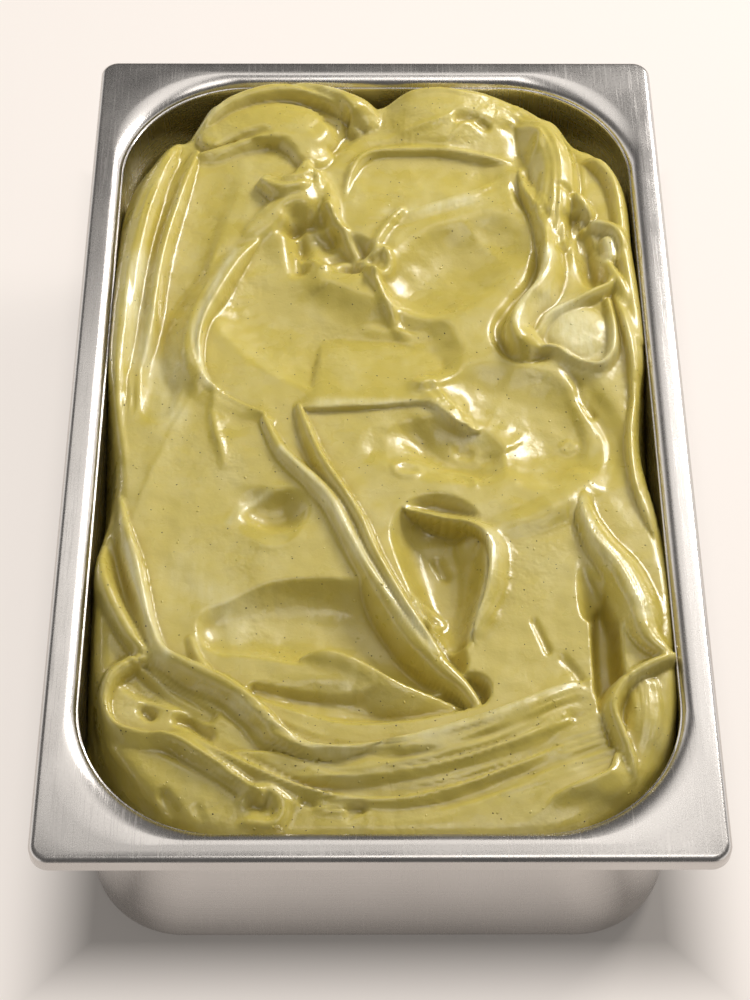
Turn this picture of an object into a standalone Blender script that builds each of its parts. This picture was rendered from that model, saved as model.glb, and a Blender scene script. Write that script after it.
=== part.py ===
"""A stainless steel gelato pan filled with pistachio gelato, a Blender 4.5 script.

The pan is one pressed sheet: a turned-down lip, a flat flange, a round shoulder, upright walls
and a flat base. The gelato is one mass that fills it, and its top is worked with a spatula: a
scoop hollows it, a fold lays a rounded ridge on it, and each later move covers the earlier ones.
"""

import math

import bmesh
import bpy
import numpy as np

MM = 0.001

# Driving sizes of the pan, in metres
PAN_WIDTH = 0.325
PAN_LENGTH = 0.530
PAN_HEIGHT = 0.120
SHEET = 0.0008

# The lip and the flange
LIP_CORNER_RADIUS = 0.010
LIP_BEND_RADIUS = 0.0035
LIP_DROP = 0.0085
FLANGE_INSET = 0.0108
MOUTH_CORNER_RADIUS = 0.067

# The round shoulder that leads from the flange into the wall
SHOULDER_INSET = 0.0172
SHOULDER_DEPTH = 0.0062
SHOULDER_CORNER_RADIUS = 0.072

# The wall and the base
WALL_TOP_INSET = 0.0174
WALL_TOP_DEPTH = 0.0080
WALL_FOOT_INSET = 0.0178
FOOT_CORNER_RADIUS = 0.047
FOOT_FILLET = 0.010
CORNER_STEPS = 14
BEND_STEPS = 4
FILLET_STEPS = 4

# The gelato: clearance to the steel, fill line above the floor and the grid of its top
CLEARANCE = 0.0003
FILL_HEIGHT = 0.115
BANK_FOOT_HEIGHT = 0.074
TOP_COLUMNS = 44
TOP_ROWS = 74
SPLINE_STEPS = 5

# The roll of the free edge towards the wall, in millimetres, and its steepness below
EDGE_ROLL = 9.0
EDGE_SLOPE = 3.6

# All that follows is in millimetres: x to the right, y to the back, height above the fill line.
# Plan points are given as they look in the fill plane from this eye point, in front and above.
EYE = (-9.4, -751.0, 944.0)
RELIEF = 1.6
BASE_LEVEL = -2.0
SWELL = 0.8
SWELL_ACROSS = 31.0
SWELL_ALONG = 43.0
FRONT_FALL = 0.0010
FRONT_FALL_START = -172.0
LEAST_HALF_WIDTH = 6.5

# The free edge of the gelato, anticlockwise from the right.
EDGE = (
    (149, 60), (144, 118), (144, 160), (138, 184), (127, 198), (116, 205), (106, 224), (93, 230),
    (80, 237), (62, 246), (30, 251), (6, 238), (-6, 239), (-20, 254), (-46, 262), (-72, 256),
    (-94, 238), (-105, 214), (-118, 204), (-128, 192), (-141, 166), (-147, 120), (-147, 50),
    (-141, 0), (-137, -36), (-138, -60), (-143, -86), (-143, -106), (-141, -154), (-136, -194),
    (-128, -211), (-119, -224), (-104, -238), (-80, -246), (-56, -248), (0, -249), (70, -248),
    (93, -246), (109, -239), (120, -232), (130, -222), (139, -205), (145, -188), (148, -160),
    (149, -110), (144, -60), (138, -20), (141, 20),
)

# Each move: what it does, half-width on its left and right, depth at that width, power of its
# section, softness of its join, and its path of points (x, y, height) or, where the width
# changes along it, (x, y, height, share of the width). Heights and depths grow by the relief.
MOVES = (
    # Back: the hump, the upper dish and its rim
    ("fold", 11, 54, 9, 2, 5, ((2, 230, -3), (18, 239, 3), (34, 243, 5), (56, 240, 4),
                               (80, 230, 1))),
    ("scoop", 25, 24, 7, 2.4, 4, ((0, 174, -2), (30, 175, -2.5), (60, 172, -3))),
    ("fold", 4, 3, 3, 1.3, 2, ((-18, 150, -2), (-17, 168, 0), (-12, 186, 1), (-2, 196, 1.4),
                               (20, 198, 1.4), (42, 197, 1.2), (62, 192, 0.6), (78, 186, -1))),
    # Left third: the long trough, the outer bank and its stripes
    ("scoop", 17, 19, 6, 3, 3, ((-86, 192, -1, 1.2), (-90, 168, -2, 1.2), (-99, 132, -3),
                                (-106, 95, -4, 0.85), (-112, 60, -5, 0.8), (-113, 28, -4, 0.8),
                                (-116, 2, -2, 0.7))),
    ("fold", 9, 14, 8, 1.6, 3, ((-116, 208, 0), (-121, 190, 2), (-129, 160, 4), (-135, 118, 4.5),
                                (-139, 76, 4), (-141, 36, 3), (-139, 4, 1), (-134, -24, 0),
                                (-129, -56, -2))),
    ("fold", 3, 9, 4, 1.3, 2, ((-104, 194, 0), (-109, 176, 2.5), (-114, 152, 3), (-119, 126, 3),
                               (-122, 98, 2.5), (-124, 62, 1), (-127, 34, -1), (-130, 8, -4))),
    # Middle: the wide dish, the round bowl and the small hollow between them
    ("scoop", 44, 46, 10, 2.4, 3, ((-62, 98, -4), (-54, 68, -6), (-24, 44, -7), (8, 37, -7))),
    ("scoop", 32, 33, 9, 2.4, 5, ((62, 118, -5), (46, 102, -7.5), (28, 86, -7))),
    ("scoop", 15, 14, 7, 2.2, 2.5, ((-34, 118, -5.5), (-14, 108, -6.5))),
    ("fold", 5, 9, 3, 1.4, 3, ((-16, 68, -6.5), (-4, 61, -5.6), (15, 56, -5.2), (34, 55, -5),
                               (52, 62, -4.8), (64, 74, -4.8))),
    ("fold", 5, 9, 4, 1.4, 3, ((-14, 142, -3), (3, 141, -1.8), (17, 145, -1.2),
                               (34, 153, -0.8), (54, 161, -1.2), (70, 170, -2.6))),
    ("fold", 5, 16, 7, 1.2, 3, ((-62, 132, -2, 0.7), (-76, 116, 1), (-88, 92, 3), (-97, 68, 3.5),
                                (-99, 46, 3.5), (-94, 26, 3), (-82, 14, 2, 0.8), (-66, 4, 1, 0.6),
                                (-56, -4, -1, 0.5))),
    # Right dish of two lobes, under the lip of the middle dish
    ("scoop", 34, 46, 9, 2.2, 4, ((64, 6, -5), (86, -6, -6.5), (94, -20, -7))),
    ("scoop", 22, 34, 8, 2.2, 3, ((4, -20, -2.5), (24, -22, -4.5), (48, -24, -6))),
    ("fold", 30, 2.5, 4, 1.2, 1.5, ((-42, 6, -1, 0.3), (-30, 7, 0.3), (0, 9, 0.6), (22, 11, 0.6),
                                    (32, 6, 0.4, 0.7), (42, -4, -0.6, 0.4), (52, -10, -3, 0.2))),
    ("fold", 12, 7, 5, 1.4, 3, ((14, 14, -1), (22, 21, 1), (34, 24, 0), (46, 32, -2),
                                (56, 46, -4), (62, 62, -5))),
    # Left plates and the crater
    ("scoop", 36, 34, 4, 4, 3, ((-90, -14, -1.5), (-90, -60, -2), (-88, -100, -2))),
    ("scoop", 12, 12, 3, 2, 3, ((-60, -62, -4), (-50, -66, -5))),
    # Front left: the dull dish and the peak in its lower edge
    ("scoop", 25, 25, 8, 2.6, 2, ((-74, -138, -5, 0.8), (-44, -137, -8), (-8, -142, -9),
                                  (22, -162, -10, 0.8))),
    # Pocket between the central ridge and the right plate
    ("scoop", 26, 25, 11, 2.6, 2, ((29, -86, -10), (32, -108, -11, 0.85), (34, -130, -11, 0.6),
                                   (36, -146, -8, 0.35))),
    ("scoop", 22, 22, 4, 4, 3, ((80, -86, -0.5), (80, -120, -1), (78, -154, -2))),
    # Front: the valley over the waves, then the waves one below the other
    ("scoop", 12, 9, 8, 2, 2, ((-60, -172, -3, 0.6), (-20, -184, -5), (14, -184, -8),
                               (44, -180, -11, 0.8))),
    ("fold", 5, 26, 9, 1.5, 2, ((-120, -206, -3), (-84, -206, -1), (-50, -206, 1), (-16, -204, 2),
                                (20, -196, 3.5), (54, -185, 3.5), (84, -172, 2), (102, -166, -1))),
    ("fold", 3, 12, 5, 1.3, 1.5, ((-44, -208, -1), (-12, -208, 2.5), (16, -203, 3.5),
                                  (46, -194, 3.5), (70, -184, 2.5), (92, -174, 0))),
    ("fold", 3, 11, 5, 1.3, 1.5, ((-60, -214, -1), (-20, -217, 1), (22, -212, 2),
                                  (60, -200, 2), (90, -186, 0))),
    ("fold", 3, 15, 6, 1.3, 1.5, ((-98, -192, -1), (-84, -200, 1.5), (-66, -210, 2),
                                  (-44, -220, 1.5), (-18, -228, 1), (14, -228, 0.5),
                                  (50, -218, 0), (84, -203, -1), (100, -194, -3))),
    # Back left: the plate, the rolled cap over it, the tongue and the blob below
    ("fold", 27, 9, 7, 5, 2, ((-90, 206, 2, 0.8), (-68, 215, 4), (-48, 213, 4),
                              (-40, 208, 3, 0.8))),
    ("fold", 15, 12, 7, 4, 2, ((-50, 214, 4), (-42, 206, 3.6), (-38, 197, 2.6))),
    ("fold", 3, 8, 5, 1.3, 1.5, ((-108, 188, -1), (-97, 195, 2), (-84, 204, 3), (-66, 209, 3),
                                 (-59, 205, 2, 0.6), (-56, 196, -1, 0.4))),
    ("fold", 10, 6, 8, 1.9, 1, ((-106, 202, -1, 0.8), (-102, 218, 3), (-91, 233, 5),
                                (-72, 245, 6), (-50, 250, 6.4), (-30, 247, 6.4),
                                (-15, 239, 6.4, 1.3), (-10, 230, 5.6, 1.4), (-12, 219, 2))),
    ("fold", 19, 17, 9, 2, 2, ((-40, 176, 3, 0.8), (-46, 160, 3.5), (-58, 148, 2, 0.9),
                               (-70, 134, 0.5, 0.7), (-77, 124, -1.5, 0.5))),
    ("fold", 10, 10, 9, 2.4, 1, ((-40, 186, 3, 0.6), (-44, 176, 6), (-54, 172, 6),
                                 (-63, 176, 5, 0.6))),
    ("scoop", 5, 5, 2.5, 2, 1.2, ((-62, 181, 4.5, 0.6), (-50, 179, 3.5), (-38, 182, 4.5, 0.6))),
    # Right: the arch, the lobes at the wall and the long rope with its round end
    ("fold", 13, 17, 9, 2, 2.5, ((84, 222, 0, 0.8), (94, 216, 4.5), (102, 203, 6),
                                 (105, 185, 6), (104, 166, 5.5), (101, 148, 4.5, 0.8),
                                 (103, 126, 2, 0.6))),
    ("fold", 7, 7, 7, 1.7, 1.5, ((118, 186, -1), (128, 188, 2.5), (136, 174, 3), (139, 150, 3),
                                 (140, 116, 3), (141, 84, 2), (142, 54, 1))),
    ("scoop", 7, 9, 7, 2, 2, ((112, 136, -2), (115, 118, -4), (118, 102, -4), (118, 92, -3))),
    ("fold", 7, 7, 6, 2, 1.2, ((106, 160, 4), (114, 160, 5), (118, 150, 4), (116, 140, 0, 0.6))),
    ("fold", 4, 4, 4, 1.6, 1.2, ((118, 134, 0), (124, 140, 3), (134, 137, 4), (139, 126, 4),
                                 (137, 112, 2))),
    ("fold", 8, 6, 6, 2, 1.2, ((130, 126, 2), (130, 116, 2))),
    ("fold", 5, 5, 5, 1.6, 1.2, ((124, 118, 0), (130, 106, 3), (136, 92, 3), (138, 78, 1))),
    ("fold", 10, 5, 8, 1.6, 1.5, ((82, 184, -2, 0.6), (86, 166, 2, 0.8), (93, 148, 4.5),
                                  (96, 128, 5.5), (96, 110, 6), (91, 95, 6.5), (82, 82, 6.5),
                                  (76, 68, 6.5, 1.2), (78, 56, 6, 1.4))),
    ("fold", 22, 16, 5, 4, 1.2, ((108, 64, 0.6), (106, 58, 0.6))),
    ("fold", 2.5, 2.5, 3, 1.3, 1, ((88, 58, 1), (94, 70, 2), (106, 79, 2.4), (118, 87, 3),
                                   (130, 96, 3), (128, 106, 2))),
    ("fold", 2.5, 2, 3, 1.3, 1, ((86, 46, 1.5), (96, 48, 1.8), (104, 42, 1.8), (113, 37, 1.8),
                                 (122, 37, 1.8), (128, 47, 1.8), (129, 64, 1.8),
                                 (127, 82, 1.5))),
    ("fold", 9, 3.5, 7, 1.5, 2, ((130, 92, -1), (136, 70, 2.5), (139, 44, 3), (138, 16, 2.5),
                                 (134, -10, 2), (134, -38, 2), (139, -66, 1), (143, -86, -2))),
    # Lip over the pocket, the fold down from the dish and the central ridge
    ("fold", 14, 3, 8, 1.3, 1.5, ((-2, -56, -3, 0.4), (16, -60, -1, 0.5), (34, -65, 0, 0.7),
                                  (48, -68, 1.5, 0.7), (57, -76, 2.5), (59, -92, 2.5),
                                  (56, -112, 2), (50, -132, 0.5), (48, -146, -2, 0.7))),
    ("fold", 16, 16, 5, 1.6, 3, ((64, -72, 0), (80, -66, 0.5), (96, -56, 1), (108, -46, 0))),
    ("fold", 4, 5, 6, 1.3, 1.5, ((-42, 8, 1, 0.7), (-37, -8, 2.5), (-29, -28, 3.5),
                                 (-18, -48, 4), (-9, -66, 4), (-2, -86, 4), (8, -108, 3.5),
                                 (18, -128, 2.5), (30, -150, 0))),
    ("fold", 7, 7, 7, 2, 1.5, ((-60, -2, 0, 0.5), (-50, -24, 0.5, 0.8), (-34, -42, 1.5),
                               (-22, -58, 2), (-13, -80, 2), (-2, -104, 2), (14, -134, 1),
                               (30, -154, 0), (42, -168, -1.5, 0.7), (50, -184, -3, 0.5))),
    # The step and the folds that drop from the dull dish into the waves
    ("fold", 3, 14, 6, 1.4, 1.5, ((-42, -158, -4), (-34, -151, 0), (-24, -149, 1.5),
                                  (-10, -155, 1), (8, -167, 0), (26, -176, -3), (42, -184, -7))),
    ("fold", 4, 5, 5, 1.4, 1.5, ((-93, -140, 0), (-88, -152, 1), (-78, -164, 1.5),
                                 (-66, -174, 1))),
    # Left ropes and the loop
    ("fold", 7, 7, 8, 1.9, 1.5, ((-140, -84, 0, 0.7), (-141, -97, 3), (-134, -114, 3.5, 0.9),
                                 (-125, -132, 3.5, 0.8), (-116, -146, 2.5, 0.7),
                                 (-104, -158, 0, 0.6))),
    ("fold", 5, 9, 8, 1.6, 1.2, ((-134, -50, -1, 0.6), (-130, -70, 3, 0.8), (-124, -90, 4),
                                 (-119, -112, 4), (-114, -132, 4), (-107, -146, 4),
                                 (-92, -155, 4, 1.2), (-74, -165, 4, 1.3), (-60, -178, 4, 1.3),
                                 (-47, -193, 4, 1.3), (-32, -201, 3.5, 1.2), (-8, -201, 3),
                                 (20, -195, 1, 0.7))),
    ("scoop", 10, 9, 6, 2.4, 1.5, ((-122, -165, -3), (-112, -172, -4), (-98, -176, -3),
                                   (-82, -186, -3, 0.7))),
    ("fold", 4, 6, 6, 1.5, 1.5, ((-108, -150, 1, 0.7), (-122, -152, 2.5), (-132, -162, 3),
                                 (-134, -176, 3), (-128, -188, 3), (-114, -193, 3),
                                 (-98, -195, 3), (-84, -205, 3), (-70, -215, 2.5),
                                 (-56, -226, 1, 0.7))),
    # Front right: the ribbon, the deep pocket beside it and the lens
    ("scoop", 8, 9, 6, 2, 2.5, ((102, -84, 0, 0.5), (103, -100, -2, 0.8), (106, -116, -5),
                                (109, -130, -9))),
    ("scoop", 7, 6, 9, 3, 1, ((110, -132, -11), (109, -160, -13), (110, -186, -12),
                              (112, -204, -8, 0.7))),
    ("fold", 14, 9, 8, 1.8, 1.5, ((108, -46, -1, 0.4), (106, -60, 3, 0.6), (112, -78, 4.5, 0.8),
                                  (122, -96, 5), (129, -116, 5), (132, -134, 4.5, 0.8),
                                  (142, -148, 3, 0.5))),
    ("fold", 11, 12, 6, 2.4, 1.2, ((130, -168, 0.5), (129, -188, 0.5), (124, -208, -2, 0.7))),
    ("fold", 3, 4, 5, 1.4, 1, ((146, -148, 3), (132, -154, 4), (119, -164, 4), (113, -177, 4),
                               (116, -191, 3.5), (120, -207, 2), (120, -224, -2))),
    ("fold", 4, 16, 6, 1.5, 1.5, ((68, -246, -4), (80, -232, -1), (94, -222, 1),
                                  (110, -215, 2), (114, -206, 1, 0.6))),
)


def clear_scene():
    for old in list(bpy.data.objects):
        bpy.data.objects.remove(old, do_unlink=True)


def principled(name, colour, roughness, metallic):
    material = bpy.data.materials.new(name)
    material.use_nodes = True
    shader = material.node_tree.nodes["Principled BSDF"]
    shader.inputs["Base Color"].default_value = (*colour, 1.0)
    shader.inputs["Roughness"].default_value = roughness
    shader.inputs["Metallic"].default_value = metallic
    return material


def put_in_collection(name, mesh, material, collection):
    piece = bpy.data.objects.new(name, mesh)
    mesh.materials.append(material)
    collection.objects.link(piece)
    return piece


def rounded_ring(inset, corner_radius, height):
    """One rounded rectangle, anticlockwise, set in from the pan's outer edge."""
    half_x = PAN_WIDTH / 2 - inset - corner_radius
    half_y = PAN_LENGTH / 2 - inset - corner_radius
    points = []
    for quarter, (side_x, side_y) in enumerate(((1, 1), (-1, 1), (-1, -1), (1, -1))):
        for step in range(CORNER_STEPS + 1):
            angle = math.pi / 2 * (quarter + step / CORNER_STEPS)
            x = side_x * half_x + corner_radius * math.cos(angle)
            y = side_y * half_y + corner_radius * math.sin(angle)
            points.append((x, y, height))
    return points


def blend(start, end, share):
    return start + (end - start) * share


def wall_at(height):
    """Inset and corner radius of the wall's inner face at a height."""
    top = PAN_HEIGHT - WALL_TOP_DEPTH
    share = (top - height) / (top - SHEET)
    return (
        blend(WALL_TOP_INSET, WALL_FOOT_INSET, share),
        blend(SHOULDER_CORNER_RADIUS, FOOT_CORNER_RADIUS, share),
    )


def foot_fillet(clearance):
    """The round foot inside the pan, as (inset, corner radius, height), down to the floor."""
    inset, corner = wall_at(SHEET + FOOT_FILLET)
    rings = []
    for step in range(FILLET_STEPS + 1):
        angle = math.pi / 2 * step / FILLET_STEPS
        inward = FOOT_FILLET * (1 - math.cos(angle))
        height = SHEET + FOOT_FILLET * (1 - math.sin(angle)) + clearance
        rings.append((inset + clearance + inward, corner - clearance - inward, height))
    return rings


def pan_profile():
    """The sheet's upper face from the lip's edge to the floor, as (inset, corner radius, height)."""
    profile = [(0.0, LIP_CORNER_RADIUS, PAN_HEIGHT - LIP_DROP)]
    for step in range(BEND_STEPS + 1):
        angle = math.pi / 2 * step / BEND_STEPS
        inset = LIP_BEND_RADIUS * (1 - math.cos(angle))
        height = PAN_HEIGHT - LIP_BEND_RADIUS * (1 - math.sin(angle))
        profile.append((inset, LIP_CORNER_RADIUS - inset, height))
    for step in range(BEND_STEPS + 1):
        angle = math.pi / 2 * step / BEND_STEPS
        inset = blend(FLANGE_INSET, SHOULDER_INSET, math.sin(angle))
        corner = blend(MOUTH_CORNER_RADIUS, SHOULDER_CORNER_RADIUS, math.sin(angle))
        profile.append((inset, corner, PAN_HEIGHT - SHOULDER_DEPTH * (1 - math.cos(angle))))
    top = PAN_HEIGHT - WALL_TOP_DEPTH
    profile.append((*wall_at(top), top))
    return profile + foot_fillet(0.0)


def loft(mesh_name, rings):
    """A skin over rings of equally many points, facing up and inwards, with a flat floor."""
    shape = bmesh.new()
    loops = [[shape.verts.new(point) for point in ring] for ring in rings]
    count = len(loops[0])
    for outer, inner in zip(loops[:-1], loops[1:]):
        for i in range(count):
            j = (i + 1) % count
            shape.faces.new((outer[i], outer[j], inner[j], inner[i]))
    shape.faces.new(loops[-1])
    mesh = bpy.data.meshes.new(mesh_name)
    shape.to_mesh(mesh)
    shape.free()
    return mesh


def make_pan(collection):
    rings = [rounded_ring(inset, corner, height) for inset, corner, height in pan_profile()]
    steel = principled("satin steel", (0.62, 0.59, 0.57), 0.28, 1.0)
    pan = put_in_collection("pan", loft("pan", rings), steel, collection)
    pan.data.shade_smooth()
    pan.data.set_sharp_from_angle(angle=math.radians(35))
    sheet = pan.modifiers.new("Sheet", "SOLIDIFY")
    sheet.thickness = SHEET
    sheet.offset = -1.0
    sheet.use_even_offset = True
    return pan


def settle(points):
    """Moves points seen from the eye in the fill plane to where they are at their heights."""
    points = np.array([(*point, 1.0)[:4] for point in points], dtype=float)
    points[:, 2] *= RELIEF
    eye = np.array(EYE)
    reach = (eye[2] - points[:, 2:3]) / eye[2]
    points[:, :2] = eye[:2] + (points[:, :2] - eye[:2]) * reach
    return points


def spline(points, closed=False):
    """A smooth curve through the points, by the Catmull-Rom rule."""
    if closed:
        points = np.vstack((points[-1:], points, points[:2]))
    else:
        points = np.vstack((points[:1], points, points[-1:]))
    curve = []
    for p0, p1, p2, p3 in zip(points[:-3], points[1:-2], points[2:-1], points[3:]):
        for step in range(SPLINE_STEPS):
            t = step / SPLINE_STEPS
            curve.append(
                0.5 * (2 * p1 + (p2 - p0) * t + (2 * p0 - 5 * p1 + 4 * p2 - p3) * t**2
                       + (3 * p1 - p0 - 3 * p2 + p3) * t**3)
            )
    curve.append(points[-2])
    return np.array(curve)


def measure(curve, x, y):
    """Distance to the curve, its side from -1 right to 1 left, and what it carries there.

    It carries its height and the share of its width.
    """
    distance = np.full(x.shape, np.inf)
    side = np.zeros(x.shape)
    height = np.zeros(x.shape)
    width_share = np.ones(x.shape)
    for start, end in zip(curve[:-1], curve[1:]):
        dx, dy = end[:2] - start[:2]
        length = math.hypot(dx, dy)
        share = np.clip(((x - start[0]) * dx + (y - start[1]) * dy) / length**2, 0, 1)
        off_x = x - start[0] - share * dx
        off_y = y - start[1] - share * dy
        off = np.hypot(off_x, off_y)
        nearer = off < distance
        distance = np.where(nearer, off, distance)
        across = (dx * off_y - dy * off_x) / (length * np.maximum(off, 1e-6))
        side = np.where(nearer, across, side)
        height = np.where(nearer, blend(start[2], end[2], share), height)
        width_share = np.where(nearer, blend(start[3], end[3], share), width_share)
    return distance, side, height, width_share


def higher_of(a, b, softness):
    """The higher of two surfaces, rounded where they come within the softness of each other."""
    overlap = np.maximum(softness - np.abs(a - b), 0)
    return np.maximum(a, b) + overlap**2 / (4 * softness)


def work_surface(x, y):
    """Height of the gelato above the fill line after every move of the spatula."""
    z = BASE_LEVEL + SWELL * np.sin(x / SWELL_ACROSS) * np.cos(y / SWELL_ALONG)
    for kind, left, right, depth, power, softness, path in MOVES:
        distance, side, height, share = measure(spline(settle(path)), x, y)
        width = np.maximum(share * blend(right, left, 0.5 + 0.5 * side), LEAST_HALF_WIDTH)
        section = RELIEF * depth * (distance / width) ** power
        if kind == "fold":
            z = higher_of(z, height - section, softness)
        else:
            z = -higher_of(-z, -height - section, softness)
    return z - FRONT_FALL * np.maximum(FRONT_FALL_START - y, 0) ** 2


def roll_edge(x, y, z):
    """Rolls the surface down outside its free edge, to the bank's foot at the wall."""
    edge = spline(settle([(px, py, 0.0) for px, py in EDGE]), closed=True)
    distance, side, _, _ = measure(edge, x, y)
    inside = np.where(side > 0, distance, -distance)
    near = np.clip(EDGE_ROLL - inside, 0, EDGE_ROLL)
    roll = EDGE_ROLL - np.sqrt(EDGE_ROLL**2 - near**2)
    z = z - roll - EDGE_SLOPE * np.maximum(-inside, 0)
    return np.maximum(z, (BANK_FOOT_HEIGHT - FILL_HEIGHT) / MM)


def top_plan():
    """A grid over the pan's mouth whose corners are drawn in to the wall's round corners."""
    inset, corner = wall_at(PAN_HEIGHT - WALL_TOP_DEPTH)
    half_x = (PAN_WIDTH / 2 - inset - CLEARANCE) / MM
    half_y = (PAN_LENGTH / 2 - inset - CLEARANCE) / MM
    radius = (corner - CLEARANCE) / MM
    across = np.linspace(-half_x, half_x, TOP_COLUMNS + 1)
    along = np.linspace(-half_y, half_y, TOP_ROWS + 1)
    x, y = np.meshgrid(across, along)
    u = np.clip((np.abs(x) - (half_x - radius)) / radius, 0, 1)
    v = np.clip((np.abs(y) - (half_y - radius)) / radius, 0, 1)
    x = np.sign(x) * (np.abs(x) - radius * u * (1 - np.sqrt(1 - v**2 / 2)))
    y = np.sign(y) * (np.abs(y) - radius * v * (1 - np.sqrt(1 - u**2 / 2)))
    return x, y


def border(rows, columns):
    """Row and column of each point on the grid's border, anticlockwise seen from above."""
    front = [(0, column) for column in range(columns)]
    right = [(row, columns) for row in range(rows)]
    back = [(rows, column) for column in range(columns, 0, -1)]
    left = [(row, 0) for row in range(rows, 0, -1)]
    return front + right + back + left


def on_wall(x, y, inset, corner):
    """Slides a border point of the top out or in to the wall of another height."""
    top_inset, top_corner = wall_at(PAN_HEIGHT - WALL_TOP_DEPTH)
    top_radius = top_corner - CLEARANCE
    top_x = PAN_WIDTH / 2 - top_inset - top_corner
    top_y = PAN_LENGTH / 2 - top_inset - top_corner
    new_x = PAN_WIDTH / 2 - inset - corner
    new_y = PAN_LENGTH / 2 - inset - corner
    beyond_x = max(abs(x) - top_x, 0.0)
    beyond_y = max(abs(y) - top_y, 0.0)
    scale = corner / top_radius
    out_x = new_x + beyond_x * scale if beyond_x else abs(x) * new_x / top_x
    out_y = new_y + beyond_y * scale if beyond_y else abs(y) * new_y / top_y
    return math.copysign(out_x, x), math.copysign(out_y, y)


def make_gelato(collection):
    x, y = top_plan()
    z = roll_edge(x, y, work_surface(x, y))
    shape = bmesh.new()
    top = [
        [shape.verts.new((px * MM, py * MM, FILL_HEIGHT + pz * MM)) for px, py, pz in zip(*row)]
        for row in zip(x, y, z)
    ]
    for row in range(TOP_ROWS):
        for column in range(TOP_COLUMNS):
            shape.faces.new((top[row][column], top[row][column + 1],
                             top[row + 1][column + 1], top[row + 1][column]))
    upper = [top[row][column] for row, column in border(TOP_ROWS, TOP_COLUMNS)]
    foot = foot_fillet(CLEARANCE)
    low_inset, low_corner = wall_at(BANK_FOOT_HEIGHT - 2 * FOOT_FILLET)
    bands = [(low_inset + CLEARANCE, low_corner - CLEARANCE, BANK_FOOT_HEIGHT - 2 * FOOT_FILLET)]
    for inset, corner, height in bands + foot:
        lower = [
            shape.verts.new((*on_wall(vert.co.x, vert.co.y, inset, corner), height))
            for vert in [top[row][column] for row, column in border(TOP_ROWS, TOP_COLUMNS)]
        ]
        for i in range(len(upper)):
            j = (i + 1) % len(upper)
            shape.faces.new((upper[j], upper[i], lower[i], lower[j]))
        upper = lower
    shape.faces.new(list(reversed(upper)))
    mesh = bpy.data.meshes.new("gelato")
    shape.to_mesh(mesh)
    shape.free()
    mesh.shade_smooth()
    pistachio = principled("pistachio gelato", (0.52, 0.46, 0.13), 0.32, 0.0)
    return put_in_collection("gelato", mesh, pistachio, collection)


def main():
    clear_scene()
    collection = bpy.data.collections.new("gelato pan")
    bpy.context.scene.collection.children.link(collection)
    make_pan(collection)
    make_gelato(collection)


main()
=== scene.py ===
"""The looks of a steel gelato pan filled with pistachio gelato, laid out as a Blender 4.5 add-on.

The pan is pressed from bands by Geometry Nodes. The gelato's top is worked by the same moves of
the spatula as its solid, then drawn finer with strings, lips, hollows and combed streaks, and
strewn with ground nut and air bubbles.
"""

import math

import bmesh
import bpy
import numpy as np
from mathutils import Matrix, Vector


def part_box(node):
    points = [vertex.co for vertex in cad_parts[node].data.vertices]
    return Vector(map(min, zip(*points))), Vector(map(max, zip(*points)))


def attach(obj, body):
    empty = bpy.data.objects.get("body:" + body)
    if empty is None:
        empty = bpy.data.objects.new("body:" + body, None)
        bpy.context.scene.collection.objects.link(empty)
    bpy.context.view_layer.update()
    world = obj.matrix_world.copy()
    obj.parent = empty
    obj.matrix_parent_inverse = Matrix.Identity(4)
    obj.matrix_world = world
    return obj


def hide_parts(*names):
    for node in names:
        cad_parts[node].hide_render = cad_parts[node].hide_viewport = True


bl_info = {
    "name": "Gelato pan",
    "version": (1, 0, 0),
    "blender": (4, 5, 0),
    "location": "3D View > Sidebar > Gelato pan",
    "description": "Dresses a steel pan filled with pistachio gelato",
    "category": "Object",
}

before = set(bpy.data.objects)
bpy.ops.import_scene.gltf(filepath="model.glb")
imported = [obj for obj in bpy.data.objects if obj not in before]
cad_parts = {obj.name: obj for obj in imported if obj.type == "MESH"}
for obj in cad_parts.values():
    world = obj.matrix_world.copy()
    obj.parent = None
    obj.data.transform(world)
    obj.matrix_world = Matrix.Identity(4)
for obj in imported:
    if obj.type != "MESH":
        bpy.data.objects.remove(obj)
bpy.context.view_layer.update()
BODY = "root"

MM = 0.001
PAN_LOW, PAN_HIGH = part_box("pan")
PAN_WIDTH = PAN_HIGH[0] - PAN_LOW[0]
PAN_LENGTH = PAN_HIGH[1] - PAN_LOW[1]
PAN_HEIGHT = PAN_HIGH[2] - PAN_LOW[2]
PAN_SIZES = {"Width": PAN_WIDTH, "Length": PAN_LENGTH, "Height": PAN_HEIGHT}

# The pressed sheet, in metres: insets are from the pan's outer edge, depths from its rim. The
# start of the shoulder is a slope, in radians.
SHEET = 0.0008
LIP_CORNER_RADIUS = 0.010
LIP_BEND_RADIUS = 0.0035
LIP_DROP = 0.0085
FLANGE_INSET = 0.0108
MOUTH_CORNER_RADIUS = 0.061
SHOULDER_START = 0.30
SHOULDER_INSET = 0.0166
SHOULDER_DEPTH = 0.0058
SHOULDER_CORNER_RADIUS = 0.0715
BEAD_INSET = 0.0172
BEAD_DEPTH = 0.0060
WALL_TOP_INSET = 0.0174
WALL_TOP_DEPTH = 0.0080
WALL_TOP_CORNER_RADIUS = 0.072
WALL_FOOT_INSET = 0.0178
FOOT_CORNER_RADIUS = 0.047
FOOT_FILLET = 0.010
CLEARANCE = 0.0003
WELD_DISTANCE = 0.00001
SHARP_ANGLE = math.radians(38)
RIGHT_ANGLE = math.pi / 2

# Where the noise of the finishes is spread from and to, and how rough it is
NOISE_LOW = 0.3
NOISE_HIGH = 0.7
NOISE_ROUGHNESS = 0.6

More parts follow.
